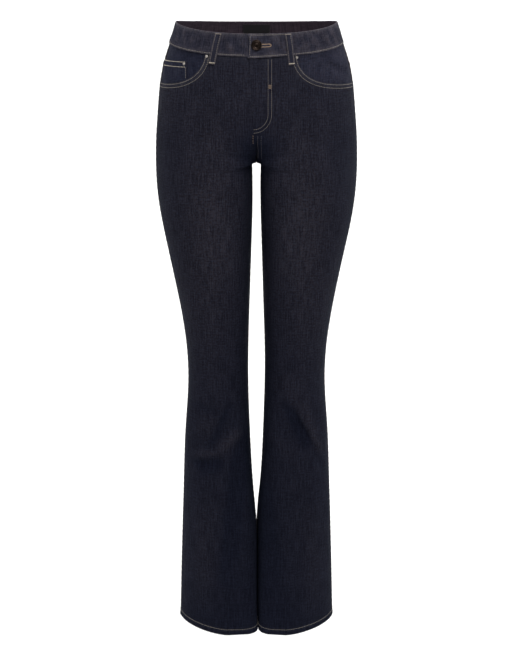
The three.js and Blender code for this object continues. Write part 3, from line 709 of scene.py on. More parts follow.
# %% [markdown]
# ## What sewing does to cloth
#
# A stitched seam is never flat. Its turned-in layers raise a soft ridge, and the thread draws the cloth up
# into small ripples along it. The same ripples make a hem look roped. Worn cloth also keeps shallow waves
# from standing and sitting. All of it is height over the skin, in millimetres, so one function for a front
# and one for a back give it to everything that lies on them.

# %% Ripples, ridges and waves
def ripple(along, length, seed):
    """An uneven wave along a seam: a sine whose phase is pushed about by two slower sines."""
    slow = 1.9 * np.sin(along / (3.1 * length) + seed) + 1.3 * np.sin(along / (1.7 * length) + 2.2 * seed)
    return np.sin(2 * math.pi * along / length + slow)


def sewn(distance, along, seed, ridge=0.45, pucker=0.28, reach=8.0):
    """A felled seam: a ridge under the stitching, and ripples that die out over its reach."""
    raised = ridge * smooth(reach + 2, reach - 2, distance) - 0.55 * bell(distance, 1.1)
    drawn = pucker * ripple(along + 0.35 * distance, 9.5, seed) * bell(distance - 0.45 * reach, reach * 0.8)
    return raised + drawn


ROOT_OF_EIGHT = 2.8


def waves(x, z, seed, length, height):
    """Soft unevenness: the sum of eight sines in chosen directions over the root of eight, seeded so that
    it never changes."""
    chance = np.random.default_rng(seed)
    total = np.zeros(np.broadcast(x, z).shape)
    for _ in range(8):
        turn = chance.uniform(0, math.pi)
        size = length * chance.uniform(0.7, 1.5)
        phase = chance.uniform(0, 6.28)
        total += np.sin(2 * math.pi * (x * math.cos(turn) + 0.6 * z * math.sin(turn)) / size + phase)
    return total * height / ROOT_OF_EIGHT


# Smaller creases than the plain model has: face, leg, two ends as x and z, half width, height
CREASES = [
    ["front", 1, 2, -206, 42, -176, 5, -1.0],
    ["front", 1, 3, -216, 54, -206, 5, -0.9],
    ["front", 1, 4, -228, 46, -240, 6, -0.8],
    ["front", -1, -2, -206, -36, -180, 5, -0.9],
    ["front", -1, -3, -217, -50, -210, 5, -0.9],
    ["front", -1, -4, -229, -42, -243, 6, -0.8],
    ["front", 1, 69, -652, 108, -722, 4.5, 3.0],
    ["front", 1, 50, -640, 94, -712, 8, -3.2],
    ["front", 1, 96, -716, 122, -776, 6, -1.2],
    ["front", 1, 22, -690, 62, -738, 9, 1.1],
    ["front", -1, -112, -640, -66, -658, 8, -1.3],
    ["front", -1, -46, -642, -78, -716, 7, -2.6],
    ["front", -1, -28, -690, -62, -716, 8, 2.4],
    ["front", -1, -106, -750, -58, -745, 6, -3.2],
    ["front", -1, -108, -733, -62, -725, 6, 2.4],
    ["front", -1, -26, -745, -46, -860, 9, -2.4],
    ["front", 1, 118, -420, 100, -520, 12, 0.7],
    ["front", -1, -120, -430, -104, -530, 12, 0.7],
    ["back", 1, 30, -600, 88, -618, 6, 1.2],
    ["back", -1, -30, -606, -86, -616, 6, 1.2],
    ["back", 1, 6, -236, 60, -252, 6, -1.2],
    ["back", -1, -6, -236, -60, -250, 6, -1.2],
]


def worn_relief(leg, face, u, row):
    """Height of what a front and a back share: creases, soft waves, the sewn side seam and inseam, and the
    hem's fold with its roping."""
    u, row = np.broadcast_arrays(np.asarray(u, float), np.asarray(row, float))
    place = skin(leg, face, u, row)
    x, z = place[..., 0], place[..., 2]
    side, centre = from_side(face, u, row), from_centre(face, u, row)
    seed = 2.0 * leg + (5.0 if face == "back" else 0.0)
    clear = smooth(0, 14, side) * smooth(0, 14, centre) * smooth(HEM, HEM + 30, row)
    below_band = smooth(BAND_SEAM, BAND_SEAM - 25, row)
    height = clear * below_band * (fold_height(CREASES, face, x, z) + waves(x, z, 11 + leg, 95, 0.55))
    height += clear * below_band * waves(x, z, 31 + leg, 27, 0.12)
    height += sewn(side, row, seed, ridge=0.35, pucker=0.22) * smooth(BAND_SEAM - 2, BAND_SEAM - 20, row)
    below_crotch = smooth(CROTCH_ROW + 20, CROTCH_ROW - 20, row)
    height += sewn(centre, row, seed + 1, ridge=0.4, pucker=0.26) * below_crotch
    up = row - HEM
    roped = 0.4 * ripple(across_at(face, u, row) + 0.8 * up, 8.0, seed) * bell(up - 4, 6)
    return height + 0.5 * smooth(13, 9.5, up) - 0.35 * bell(up - 9.5, 1.6) + roped


FADE_DOWN = spline([0, -120, -290, -480, -640, -900, -1060], [0.085, 0.075, 0.125, 0.08, 0.04, 0.025, 0.0])
# Folds: wear on the ridges and painted shade in the troughs. Fork: painted shade.
FOLD_WEAR_AND_SHADE, FORK_PAINTED_SHADE = 0.014, 0.06


def fade_and_painted_shade(leg, face, u, row):
    """How pale the cloth is made: a curve down the leg, palest on the thigh and darker towards the hem, a
    stripe beside the side seam, ridges paler as worn, and painted shade that darkens the sides, the folds
    and the fork."""
    place = skin(leg, face, u, row)
    x, z = place[..., 0], place[..., 2]
    # Painted shade: the sides of the leg get less of the fade than its middle, so they look darker.
    middle = mix(1, 0.25 + 0.8 * bell(leg * x - 76, 50), smooth(-100, -220, z))
    stripe = 0.03 * bell(from_side(face, u, row) - 14, 7) * smooth(-540, -640, z)
    # Ridges are paler as worn cloth; the folds' troughs are darker as painted shade.
    folds = FOLD_WEAR_AND_SHADE * (fold_height(FOLDS, face, x, z) + fold_height(CREASES, face, x, z))
    # Painted shade at the fork, where the legs meet.
    fork = FORK_PAINTED_SHADE * bell(x, 28) * bell(z + 205, 36)
    return np.clip(FADE_DOWN(z) * middle + stripe + folds - fork, 0, 1)


def worn_share(face, u, row):
    """How rubbed the cloth is: along the side seam, the inseam and the hem's edge."""
    side, centre, up = from_side(face, u, row), from_centre(face, u, row), row - HEM
    inseam = 0.18 * bell(centre - 3, 3.5) * smooth(CROTCH_ROW, CROTCH_ROW - 60, row)
    seams = 0.32 * bell(side - 3, 3.5) + inseam
    return np.clip(seams + 0.14 * bell(up, 1.4) + 0.12 * bell(up - 9, 2.5), 0, 1)


print("There are", len(FOLDS), "large folds and", len(CREASES), "small creases")

# %% [markdown]
# ## Front legs
#
# Each front runs from the waistband to the hem, with a scoop cut out of its top outer corner for the hand.
# A regular grid can't follow that curve, so the grid's top row is bent: it goes up the scoop and then along
# the waistband's seam at even steps, and the next rows fan out from it to the first straight row. The cut
# edge then comes out exactly, with no boolean. The top edge is tucked a little way into the folded
# waistband, as it is sewn, so no light comes through between them.

# %% The scoop and the fly
SCOOP_SIDE_X, SCOOP_TOP, SCOOP_TALL = 160.0, -36.0, 62.5
SCOOPS = {-1: (78.0, 2.4), 1: (96.0, 2.8)}
FLY_TOP_X, FLY_FOOT_X, FLY_TURN = -12.0, -4.5, 14.0
TUCKED = 1.0
PANEL_TOP = BAND_SEAM + TUCKED


def scoop_curve(leg, grow, count=220):
    """The scoop's edge as x and z from the front: a quarter of a superellipse, from its foot on the side
    seam up to its top. grow moves it away from the pocket's mouth."""
    reach, roundness = SCOOPS[leg]
    turn = np.linspace(QUARTER, 0, count)
    x = SCOOP_SIDE_X - (reach + grow) * np.cos(turn).clip(0) ** (2 / roundness)
    z = SCOOP_TOP - (SCOOP_TALL + grow) * np.sin(turn).clip(0) ** (2 / roundness)
    return leg * x, z


def scoop_line(leg, grow):
    """The same curve as u and row, from the side seam to the waistband's seam."""
    x, z = scoop_curve(leg, grow)
    reached = leg * x < section["side"](z) - 0.3
    u, row = locate(leg, "front", x[reached], z[reached])
    u, row = np.append(0.0, u), np.append(z[0], row)
    return u[row < PANEL_TOP], row[row < PANEL_TOP]


def from_scoop(leg, x, z):
    """Rough distance outside the scoop's edge: the superellipse's own measure, less 1, times its size."""
    reach, roundness = SCOOPS[leg]
    a = np.maximum(SCOOP_SIDE_X - leg * x, 0) / reach
    b = np.maximum(SCOOP_TOP - z, 0) / SCOOP_TALL
    return ((a**roundness + b**roundness) ** (1 / roundness) - 1) * SCOOP_TALL


def fly_edge(leg, row):
    """u of a front's edge at the centre: the left front laps over to the wearer's right down to the fly's
    foot, and both meet on the centre seam below it."""
    turn_top = FLY_FOOT + FLY_TURN
    share = np.clip((row - BAND_SEAM) / (turn_top - BAND_SEAM), 0, 1)
    x = mix(FLY_TOP_X, FLY_FOOT_X, share) * smooth(FLY_FOOT, turn_top, row)
    return np.where(row > FLY_FOOT, u_at_x(row, leg * x), 1.0)


def along_line(points, count):
    """Places at even distances along a line of points, as fractions of its index."""
    steps = np.linalg.norm(np.diff(points, axis=0), axis=-1)
    length = np.append(0, np.cumsum(steps))
    return np.interp(np.linspace(0, length[-1], count), length, np.arange(len(points)))


def edge_wards(count):
    """Shares from 0 to 1 that lie closer at both ends: 0.4 of even steps and 0.6 of a cosine's."""
    share = np.linspace(0, 1, count)
    return mix(share, (1 - np.cos(math.pi * share)) / 2, 0.6)


def evenly(leg, face, u, row, count):
    """u and row resampled at even distances over the cloth."""
    spots = along_line(skin(leg, face, u, row), count)
    index = np.arange(len(u))
    return np.interp(spots, index, u), np.interp(spots, index, row)


FRONT_COLUMNS = 91
FAN_FOOT, FAN_ROWS = -128.0, 30
CLOSE_ROWS = 16.0


def rows_to_hem(start, count):
    """Even rows from a height nearly to the hem, and closer ones for the fold of its last millimetres."""
    even = np.linspace(start, HEM + CLOSE_ROWS, count)
    return np.append(even, np.linspace(HEM + CLOSE_ROWS, HEM, 12)[1:])[:, None]


def line_length(points):
    """The sum of the steps between neighbouring points of a line."""
    return np.linalg.norm(np.diff(points, axis=-2), axis=-1).sum(axis=-1)


def front_places(leg):
    """u and row of a front's grid: the fan from its bent top edge, then straight rows to the hem."""
    scoop_u, scoop_row = scoop_line(leg, 0)
    seam_u = np.linspace(scoop_u[-1], float(fly_edge(leg, np.array(PANEL_TOP))), 40)
    seam_row = np.full(40, PANEL_TOP)
    scoop_length = line_length(skin(leg, "front", scoop_u, scoop_row))
    seam_length = line_length(skin(leg, "front", seam_u, seam_row))
    on_scoop = round((FRONT_COLUMNS - 1) * scoop_length / (scoop_length + seam_length))
    first = evenly(leg, "front", scoop_u, scoop_row, on_scoop + 1)
    second = evenly(leg, "front", seam_u, seam_row, FRONT_COLUMNS - on_scoop)
    top_u = np.append(first[0], second[0][1:])
    top_row = np.append(first[1], second[1][1:])
    top_row[on_scoop] = PANEL_TOP

    share = edge_wards(FRONT_COLUMNS)
    fan = np.linspace(0, 1, FAN_ROWS)[:, None]
    fan_u = mix(top_u, share * fly_edge(leg, np.array(FAN_FOOT)), fan)
    fan_row = mix(top_row, FAN_FOOT, fan)
    edge = fly_edge(leg, fan_row)
    fan_u = np.where(share == 1, edge, np.minimum(fan_u, edge))
    rows = rows_to_hem(FAN_FOOT, 262)[1:]
    u = np.concatenate([fan_u, share * fly_edge(leg, rows)])
    return u, np.concatenate([fan_row, rows * np.ones(FRONT_COLUMNS)])


HEM_FOLD, TURNED_UP = 1.5, HEM_TOP - HEM
FLY_LINES = (18.6, 24.2)
J_TURN_Z, J_FOOT_Z, J_END_X = -143.0, -173.0, -5.0


def front_relief(leg, u, row):
    """Height over the skin on a front: what is shared, the lip and ripples round the scoop, the ripples
    under the waistband, and the doubled cloth of the fly with its step at the folded edge."""
    place = skin(leg, "front", u, row)
    x, z = place[..., 0], place[..., 2]
    height = worn_relief(leg, "front", u, row)
    scoop = from_scoop(leg, x, z)
    along = x - z
    height += 0.28 * smooth(9, 6, scoop) - 0.3 * (bell(scoop - 1.6, 0.9) + bell(scoop - 6.6, 0.9))
    height += 0.25 * ripple(along, 8.5, leg + 0.4) * bell(scoop - 4, 6)
    height += 0.3 * ripple(x, 11, 1.1 + leg) * bell(BAND_SEAM - row, 11) - 0.5 * bell(BAND_SEAM - row, 5)
    if leg == 1:
        inner_x = x - FLY_TOP_X
        doubled = smooth(FLY_LINES[1] + 3, FLY_LINES[1], x) * smooth(J_FOOT_Z - 3, J_FOOT_Z + 3, z)
        height += 0.55 * doubled + 0.5 * doubled * bell(inner_x, 5)
        height += 0.22 * ripple(z, 9, 3.3) * bell(x - 21, 7) * doubled
    else:
        height -= 0.5 * bell(from_centre("front", u, row) - 12, 6) * smooth(FLY_FOOT, FLY_FOOT + 12, row)
    return height


def front_wear(leg, u, row):
    """Rubbed share on a front: the shared seams, the scoop's edge and its stitching, and the cloth just
    under the waistband."""
    place = skin(leg, "front", u, row)
    scoop = from_scoop(leg, place[..., 0], place[..., 2])
    share = worn_share("front", u, row) + 0.45 * bell(scoop, 1.3) + 0.14 * bell(scoop - 4, 3.5)
    return np.clip(share + 0.12 * bell(BAND_SEAM - row, 6), 0, 1)


def wall(row):
    """Height of the inside under the outside: one cloth, and in the hem the turned-up one too."""
    return -DENIM - HEM_FOLD * smooth(HEM_TOP + 0.6, HEM_TOP, row)


print("A front is a grid of", front_places(1)[0].shape, "rows and columns")

# %% [markdown]
# ## Two fronts from one recipe
#
# Both legs come from the same functions, where leg is 1 for the wearer's left and -1 for the right. A Mirror
# modifier would be shorter, but the fly laps one way, the scoops differ, and no two folds are alike.

# %% Make the fronts
RIGHT_AND_LEFT = {"right": -1, "left": 1}


def make_panel(name, node, leg, face, places, outside, inside, wear, fade_and_shade, flat, cloth=INDIGO):
    """A sewn panel from its u and row and the heights of its two sides. flat, its flat width and length, is
    not used."""
    u, row = places
    outer, inner = (on_panel(leg, face, u, row, height) for height in (outside, inside))
    made = shell(name, outer, inner, cloth_uv(face, u, row), wear, cloth, fade_and_shade=fade_and_shade)
    finish_cloth(made, node)


def make_front(word, leg):
    """One front leg. It is cut from the waistband's seam to the hem's edge, with the turned-up cloth."""
    u, row = front_places(leg)
    relief, wear = front_relief(leg, u, row), front_wear(leg, u, row)
    # Painted shadow under the waistband: the fade is cut back in the first millimetres below its seam.
    fade_and_shade = fade_and_painted_shade(leg, "front", u, row) * (1 - 0.6 * bell(BAND_SEAM - row, 6))
    flat = (None, PANEL_TOP - HEM + TURNED_UP)
    name, node = f"denim_front_{word}", f"front_{word}"
    make_panel(name, node, leg, "front", (u, row), relief, relief + wall(row), wear, fade_and_shade, flat)


for word, leg in RIGHT_AND_LEFT.items():
    make_front(word, leg)

# %% [markdown]
# ## What shows in the scoops
#
# Behind each scoop lies the pocket's facing, cut from the same denim, and on the wearer's right the small
# coin pocket is sewn on it. They follow the hip behind the front's edge. Little light and rubbing reach
# them, so their dye is a bluer navy. The wearer's left mouth gapes a little, which shows as two soft folds
# in the facing.

# %% Facings and coin pocket
FACING_TUCK, DRAWN_OUT = 13.0, 1.2
LEFT_FACING_PALER = 0.05
FACING_BESIDE_SCOOP = 30.0
COIN_TOP, COIN_EDGE_X, COIN_FLAT = -61.0, -113.5, (50, 42)
FACING_FOLDS = [
    ["front", 1, 112, -52, 148, -66, 6, 1.6],
    ["front", 1, 116, -66, 152, -84, 7, -2.4],
    ["front", -1, -104, -50, -140, -56, 8, 0.7],
]


def facing_relief(leg, u, row):
    """Height over the skin for all that lies in a scoop: the folds of the mouth, and fine waves."""
    place = skin(leg, "front", u, row)
    x, z = place[..., 0], place[..., 2]
    clear = smooth(0, 10, from_side("front", u, row)) * smooth(BAND_SEAM - 2, BAND_SEAM - 12, row)
    inward = np.minimum(fold_height(FACING_FOLDS, "front", x, z), 0.5)
    return clear * (inward + waves(x, z, 7 + leg, 30, 0.15) - 0.2)


def make_facing(word, leg):
    """A facing on a grid of rows, each from the side seam to the scoop's edge grown by the tuck. The
    waistband's seam draws its top out from behind the front."""
    reach, roundness = SCOOPS[leg]
    rows = np.linspace(PANEL_TOP, SCOOP_TOP - SCOOP_TALL - FACING_TUCK * 0.7, 40)
    deep = np.clip((SCOOP_TOP - rows) / (SCOOP_TALL + FACING_TUCK), 0, 0.985)
    x = SCOOP_SIDE_X - (reach + FACING_TUCK) * (1 - deep**roundness) ** (1 / roundness)
    edge = u_at_x(rows, np.minimum(x, section["side"](rows) - 4))
    u = np.linspace(0, 1, 44) * edge[:, None]
    row = rows[:, None] * np.ones_like(u)
    drawn = DRAWN_OUT * smooth(BAND_SEAM - 9, BAND_SEAM - 1, row)
    lift = facing_relief(leg, u, row) - DENIM - SEAM + drawn
    fade_and_shade = fade_and_painted_shade(leg, "front", u, row) + LEFT_FACING_PALER * (leg == 1)
    flat = (reach + FACING_TUCK + FACING_BESIDE_SCOOP, rows[0] - rows[-1])
    name, node = f"denim_facing_{word}", f"pocket_facing_{word}"
    make_panel(name, node, leg, "front", (u, row), lift, lift - DENIM, 0.0, fade_and_shade, flat, NAVY)


def make_coin_pocket():
    """The coin pocket: rows from its hemmed top to the scoop's edge, between the side and its inner edge."""
    x_edge = np.linspace(-section["side"](COIN_TOP) + 0.6, COIN_EDGE_X, 34)
    reach, roundness = SCOOPS[-1]
    across = np.clip((SCOOP_SIDE_X + x_edge) / (reach - 2 * SEAM), 0, 1)
    foot = SCOOP_TOP - (SCOOP_TALL - 2 * SEAM) * (1 - across**roundness) ** (1 / roundness)
    z = mix(COIN_TOP, foot, np.linspace(0, 1, 24)[:, None])
    u, row = locate(-1, "front", x_edge, z)
    below = z[0] - z
    puffed = 0.25 * smooth(0, 1.5, below) + 0.18 * ripple(x_edge, 7, 0.3) * bell(below - 4, 4)
    facing, fade_and_shade = facing_relief(-1, u, row), fade_and_painted_shade(-1, "front", u, row)
    sides = facing + puffed - SEAM - 0.25, facing - DENIM
    name, wear = "denim_coin_pocket", 0.4 * bell(below, 1.2)
    make_panel(name, "coin_pocket", -1, "front", (u, row), *sides, wear, fade_and_shade, COIN_FLAT, NAVY)


for word, leg in RIGHT_AND_LEFT.items():
    make_facing(word, leg)
make_coin_pocket()

# %% [markdown]
# ## Back legs, yokes and patch pockets
#
# The yoke is the wedge under the back waistband that shapes the seat, deepest at the centre. Its seam and
# the seat seam are felled, so both edges are raised and doubly stitched. A patch pocket is a five-sided
# piece laid on the back; its points are found on the skin from its outline as seen from behind.

# %% Make the backs
YOKE_BEND, YOKE_FADE = 1.2, -190.0
POCKET_CLOTH = 1.2
BACK_COLUMNS = 91


def yoke_row(u):
    """The yoke's seam: from the side's height to the centre's, with u to a power."""
    return mix(YOKE_SIDE, YOKE_CENTRE, np.clip(u, 0, 1) ** YOKE_BEND)


def back_relief(leg, u, row):
    """Height over the skin on a back: what is shared, the seat seam, and both sides of the yoke's seam."""
    height = worn_relief(leg, "back", u, row)
    centre = from_centre("back", u, row)
    above_crotch = smooth(CROTCH_ROW - 8, CROTCH_ROW + 8, row)
    below_band = smooth(BAND_SEAM, BAND_SEAM - 8, row)
    height += sewn(centre, row, 4.2, ridge=0.45, pucker=0.3) * above_crotch * below_band
    seam = yoke_row(u) - row
    across = across_at("back", u, row)
    height += 0.45 * smooth(-1, 1, seam) * smooth(11, 8, seam) * above_crotch
    return height + 0.22 * ripple(across, 9, 2.6 + leg) * bell(seam - 4, 7)


def back_wear(u, row):
    """Rubbed share on a back: the shared seams, the yoke's and the seat's."""
    seam, centre = yoke_row(u) - row, from_centre("back", u, row)
    share = worn_share("back", u, row) + 0.3 * bell(seam - 0.5, 1.5)
    return np.clip(share + 0.22 * bell(centre - 2, 3) * smooth(CROTCH_ROW, CROTCH_ROW + 20, row), 0, 1)


def make_behind(name, node, leg, u, row, length):
    """A back leg or a yoke on its grid: both are one cloth on the back's relief."""
    u = u * np.ones_like(row)
    relief, wear = back_relief(leg, u, row), back_wear(u, row)
    fade_and_shade = fade_and_painted_shade(leg, "back", u, row)
    make_panel(name, node, leg, "back", (u, row), relief, relief + wall(row), wear, fade_and_shade, (None, length))


def make_back(word, leg):
    """One back leg: rows that start along the yoke's seam and level out below it."""
    u, level = edge_wards(BACK_COLUMNS), rows_to_hem(YOKE_SIDE, 290)
    bent = np.clip((level - YOKE_FADE) / (YOKE_SIDE - YOKE_FADE), 0, 1)
    row = level + (yoke_row(u) - YOKE_SIDE) * bent - SEAM / 2
    make_behind(f"denim_back_{word}", f"back_{word}", leg, u, row, YOKE_SIDE - HEM + TURNED_UP)


def make_yoke(word, leg):
    """One yoke: rows from the waistband's seam to the yoke's seam."""
    u = edge_wards(BACK_COLUMNS)
    row = mix(PANEL_TOP, yoke_row(u) + SEAM / 2, np.linspace(0, 1, 22)[:, None])
    make_behind(f"denim_yoke_{word}", f"yoke_{word}", leg, u, row, BAND_SEAM - YOKE_CENTRE)


# Corners of the wearer's left pocket, seen from behind, as x and z
POCKET_TOP = ((30, -116), (141, -97))
POCKET_FOOT = ((38, -221), (88, -240), (135, -205))
POCKET_WIDE, POCKET_TALL, POCKET_FLAT = 100, 115, (125, 145)


def pocket_place(leg, share, down):
    """u and row of a place on a patch pocket, from its shares across and down: each column runs straight
    from the top edge to the pointed foot."""
    top_x, top_z = (mix(POCKET_TOP[0][k], POCKET_TOP[1][k], share) for k in (0, 1))
    foot = np.array(POCKET_FOOT, float)
    foot_x = mix(foot[0, 0], foot[2, 0], share)
    foot_z = np.interp(foot_x, foot[:, 0], foot[:, 1])
    return locate(leg, "back", leg * mix(top_x, foot_x, down), mix(top_z, foot_z, down))


def pocket_edge(share, down):
    """Rough distance in from the nearest edge."""
    return np.minimum(np.minimum(share, 1 - share) * POCKET_WIDE, np.minimum(down, 1 - down) * POCKET_TALL)


def pocket_rise(share, down, leg):
    """Height of a patch pocket's outside over the back: its cloth, puffed in the middle, thicker at its
    turned-in edges, and rippled along its stitching."""
    from_edge = pocket_edge(share, down)
    puffed = 0.5 * smooth(6, 22, from_edge) + 0.35 * smooth(9, 5, from_edge)
    drawn = 0.18 * ripple(105 * share + 130 * down, 8.5, 1.7 * leg) * bell(from_edge - 3, 4)
    return SEAM + POCKET_CLOTH + puffed + drawn - 0.5 * bell(from_edge, 0.9)


def make_back_pocket(word, leg):
    """One patch pocket, on a grid of shares across and down."""
    share, down = np.linspace(0, 1, 61), np.linspace(0, 1, 70)[:, None]
    u, row = pocket_place(leg, share, down)
    relief = back_relief(leg, u, row)
    sides = relief + pocket_rise(share, down, leg), relief + SEAM
    wear, fade_and_shade = 0.5 * bell(pocket_edge(share, down), 1.4), fade_and_painted_shade(leg, "back", u, row)
    name, node = f"denim_back_pocket_{word}", f"back_pocket_{word}"
    make_panel(name, node, leg, "back", (u, row), *sides, wear, fade_and_shade, POCKET_FLAT)


for word, leg in RIGHT_AND_LEFT.items():
    make_back(word, leg)
    make_yoke(word, leg)
    make_back_pocket(word, leg)

# %% [markdown]
# ## The waistband
#
# One strip of cloth, folded double, goes once round the waist and laps over itself at the front. Its place
# is worked out in quarters round the waist, from the centre front by way of the wearer's right. The ends
# lift apart so that one lies on the other, and both long edges are round, because they are folds.

# %% Make the band
BAND_OUT, QUARTER_LENGTH = 1.1, 215.0
UNDER_END_X, TAB_EDGE_X, LAP_RAMP, TAB_FROM_X = 30.0, -13.0, 14.0, 45.0
LAP = (DENIM + BAND_OUT + SEAM) / 2
BUTTON_ROW = BAND_SEAM / 2
HOLE_FROM_X, HOLE_TO_X = -3.0, 22.0
TAB_DROP = -2.4
BAND_ROWS = 33


def round_waist(quarters, row, height):
    """Points round the waist: each quarter is a front or back of one side, with u running in or out."""
    quarters, row, height = np.broadcast_arrays(quarters, row, height)
    spans = [
        (-1, "front", 1 - quarters),
        (-1, "back", quarters - 1),
        (1, "back", 3 - quarters),
        (1, "front", quarters - 3),
    ]
    parts = [over(leg, face, np.clip(u, -0.02, 1.35), row, height) for leg, face, u in spans]
    which = np.clip(np.ceil(quarters) - 1, 0, 3).astype(int)
    return np.choose(which[..., None], parts)


def in_front(leg, x, row=0.0):
    """The place in quarters of a point on the front, x out from the centre on one side, or past it."""
    return 1 - u_at_x(row, x) if leg == -1 else 3 + u_at_x(row, x)


BAND_ENDS = float(in_front(-1, -UNDER_END_X)), float(in_front(1, TAB_EDGE_X))


def band_lift(quarters):
    """Out where the strip laps over at the front, and in where it lies under."""
    under = 1 - smooth(in_front(-1, -TAB_EDGE_X), in_front(-1, LAP_RAMP - TAB_EDGE_X), quarters)
    over_end = smooth(in_front(1, UNDER_END_X + LAP_RAMP), in_front(1, UNDER_END_X), quarters)
    return LAP * (over_end - under)


def on_tab(quarters):
    """0 beside the left belt loop, and 1 at the end of the tab."""
    return smooth(in_front(1, TAB_FROM_X), in_front(1, TAB_EDGE_X), quarters)


def dents(quarters, row):
    """Small dents all round the strip. Its colour follows them: paler on the raised parts as worn dye and
    painted highlight, darker in the hollows as painted shade.
    """
    return waves(quarters * QUARTER_LENGTH, 2 * row, 9, 19, 0.3)


def band_relief(quarters, row):
    """Ripples along both stitched edges, a soft rise between them, slow waves and small dents round the
    strip, and its foot, which stands off the fronts at the tab and on the wearer's right."""
    along, middle = quarters * QUARTER_LENGTH, np.sin(math.pi * row / BAND_SEAM)
    top, foot = -row, row - BAND_SEAM
    drawn = 0.22 * ripple(along, 8.5, 0.9) * bell(top - 3, 4)
    drawn += 0.3 * ripple(along, 9.5, 2.1) * bell(foot - 3, 4)
    sunk = -0.22 * (bell(top - 2.2, 0.9) + bell(foot - 2.2, 0.9))
    dented = waves(along, row, 5, 70, 0.25) + dents(quarters, row) * middle
    off = (0.9 * on_tab(quarters) + 0.8 * smooth(1.1, 0.9, quarters)) * smooth(18, 2, foot)
    return drawn + sunk + dented + off + 0.25 * middle


def band_points(quarters, row, height):
    """Places on the band; the tab grows a little taller towards its end."""
    points = round_waist(quarters, row, height)
    points[..., 2] += TAB_DROP * on_tab(quarters) * row / BAND_SEAM
    return points


def fold_round(distance, radius):
    """How far a round folded edge falls back: the radius less the height of a circle at that distance."""
    near = np.clip(1 - distance / radius, 0, 1)
    return radius * (1 - np.sqrt(1 - near**2))


def make_band():
    """The waistband, with its buttonhole left open."""
    quarters = np.linspace(*BAND_ENDS, 520)
    turn = np.linspace(0, math.pi, BAND_ROWS)
    rows = (BAND_SEAM * (1 - np.cos(turn)) / 2)[:, None]
    edge = np.minimum(-rows, rows - BAND_SEAM)
    lift, relief = band_lift(quarters), band_relief(quarters, rows)
    end = np.minimum(quarters - BAND_ENDS[0], BAND_ENDS[1] - quarters) * QUARTER_LENGTH
    back = fold_round(np.minimum(edge, end), 1.2)
    outer = band_points(quarters, rows, lift + relief + BAND_OUT - 0.95 * back)
    inner = band_points(quarters, rows, lift + relief - DENIM + 0.95 * back)
    middle = (quarters[1:] + quarters[:-1]) / 2
    middle_row = (rows[1:] + rows[:-1]) / 2
    hole_ends = in_front(1, HOLE_TO_X, BUTTON_ROW), in_front(1, HOLE_FROM_X, BUTTON_ROW)
    slit = np.abs(middle_row - BUTTON_ROW) < 0.8
    hole = (middle > hole_ends[0]) & (middle < hole_ends[1]) & slit
    uv = np.stack(np.broadcast_arrays(quarters * QUARTER_LENGTH, rows), axis=-1) * METRES
    wear = 0.5 * bell(edge, 1.1) + 0.12 * bell(edge - 3, 3)
    paler = 0.035 + 0.045 * smooth(3, 3.2, quarters) - 0.02 * bell(quarters - 0.8, 0.4)
    # The fade follows the dents: worn dye with painted highlight on raised parts and painted shade in
    # hollows.
    fade_and_shade = np.clip(paler + 0.27 * dents(quarters, rows), 0, 1)
    made = shell("denim_waistband", outer, inner, uv, wear, BAND_INDIGO, keep=~hole, fade_and_shade=fade_and_shade)
    finish_cloth(made, "waistband")


make_band()

# %% [markdown]
# ## Belt loops
#
# A loop is a narrow strip folded in three and stitched along both edges. Its ends are turned under and
# tacked: one at the band's top edge, the other on the panel below its seam. Between them it bows out from
# the band a little, as a loop with no belt in it does.

# %% Make the loops
LOOP_WIDTH, LOOP_TOP, LOOP_FOOT, LOOP_BOW = 10.4, -0.5, BAND_SEAM - 15, 1.8
LOOP_CLOTH, LOOP_TURNED_IN = 1.6, 1.5
LOOPS = {
    "front_right": (-1, "front", 59.5, 71.6),
    "front_left": (1, "front", 49.4, 56.6),
    "side_right": (-1, "back", 96.0, 99.0),
    "side_left": (1, "back", 96.0, 99.0),
    "back": (1, "back", 0.0, 0.0),
}


def loop_lift(row):
    """Height of a loop's underside: clear of the band, bowed out from it, then down to the panel."""
    bow = LOOP_BOW * np.sin(math.pi * np.clip(row / BAND_SEAM, 0, 1))
    return mix(BAND_OUT + SEAM + bow, SEAM, smooth(BAND_SEAM - 1.5, BAND_SEAM - 10, row)) + 0.45


def loop_place(name, across, down):
    """u and row of a place on a loop, by its distance from the middle and its share of the length."""
    _, _, top_x, foot_x = LOOPS[name]
    row = mix(LOOP_TOP, LOOP_FOOT, down)
    return u_at_x(row, mix(top_x, foot_x, down) + across), row


def make_loop(name):
    """One loop on a grid: round at its sides and ends, sunk along its two stitched lines."""
    leg, face = LOOPS[name][:2]
    across = np.linspace(-LOOP_WIDTH / 2, LOOP_WIDTH / 2, 23)
    down = np.linspace(0, 1, 64)[:, None]
    u, row = loop_place(name, across, down)
    edge = np.minimum(LOOP_WIDTH / 2 - np.abs(across), np.minimum(down, 1 - down) * (LOOP_TOP - LOOP_FOOT))
    sunk = -0.2 * bell(np.abs(across) - 3.5, 0.6)
    uneven = 0.14 * ripple(row, 6.5, 1.3 + 0.1 * LOOPS[name][2]) * bell(np.abs(across) - 4, 1.6)
    back = fold_round(edge, 0.8)
    lift = loop_lift(row)
    outer = over(leg, face, u, row, lift + LOOP_CLOTH + sunk + uneven - 0.8 * back)
    inner = over(leg, face, u, row, lift + 0.5 * back)
    uv = np.stack(np.broadcast_arrays(across, row), axis=-1) * METRES
    made = shell(f"denim_loop_{name}", outer, inner, uv, 0.55 * bell(edge, 1.0), BAND_INDIGO)
    finish_cloth(made, f"loop_{name}")


for name in LOOPS:
    make_loop(name)

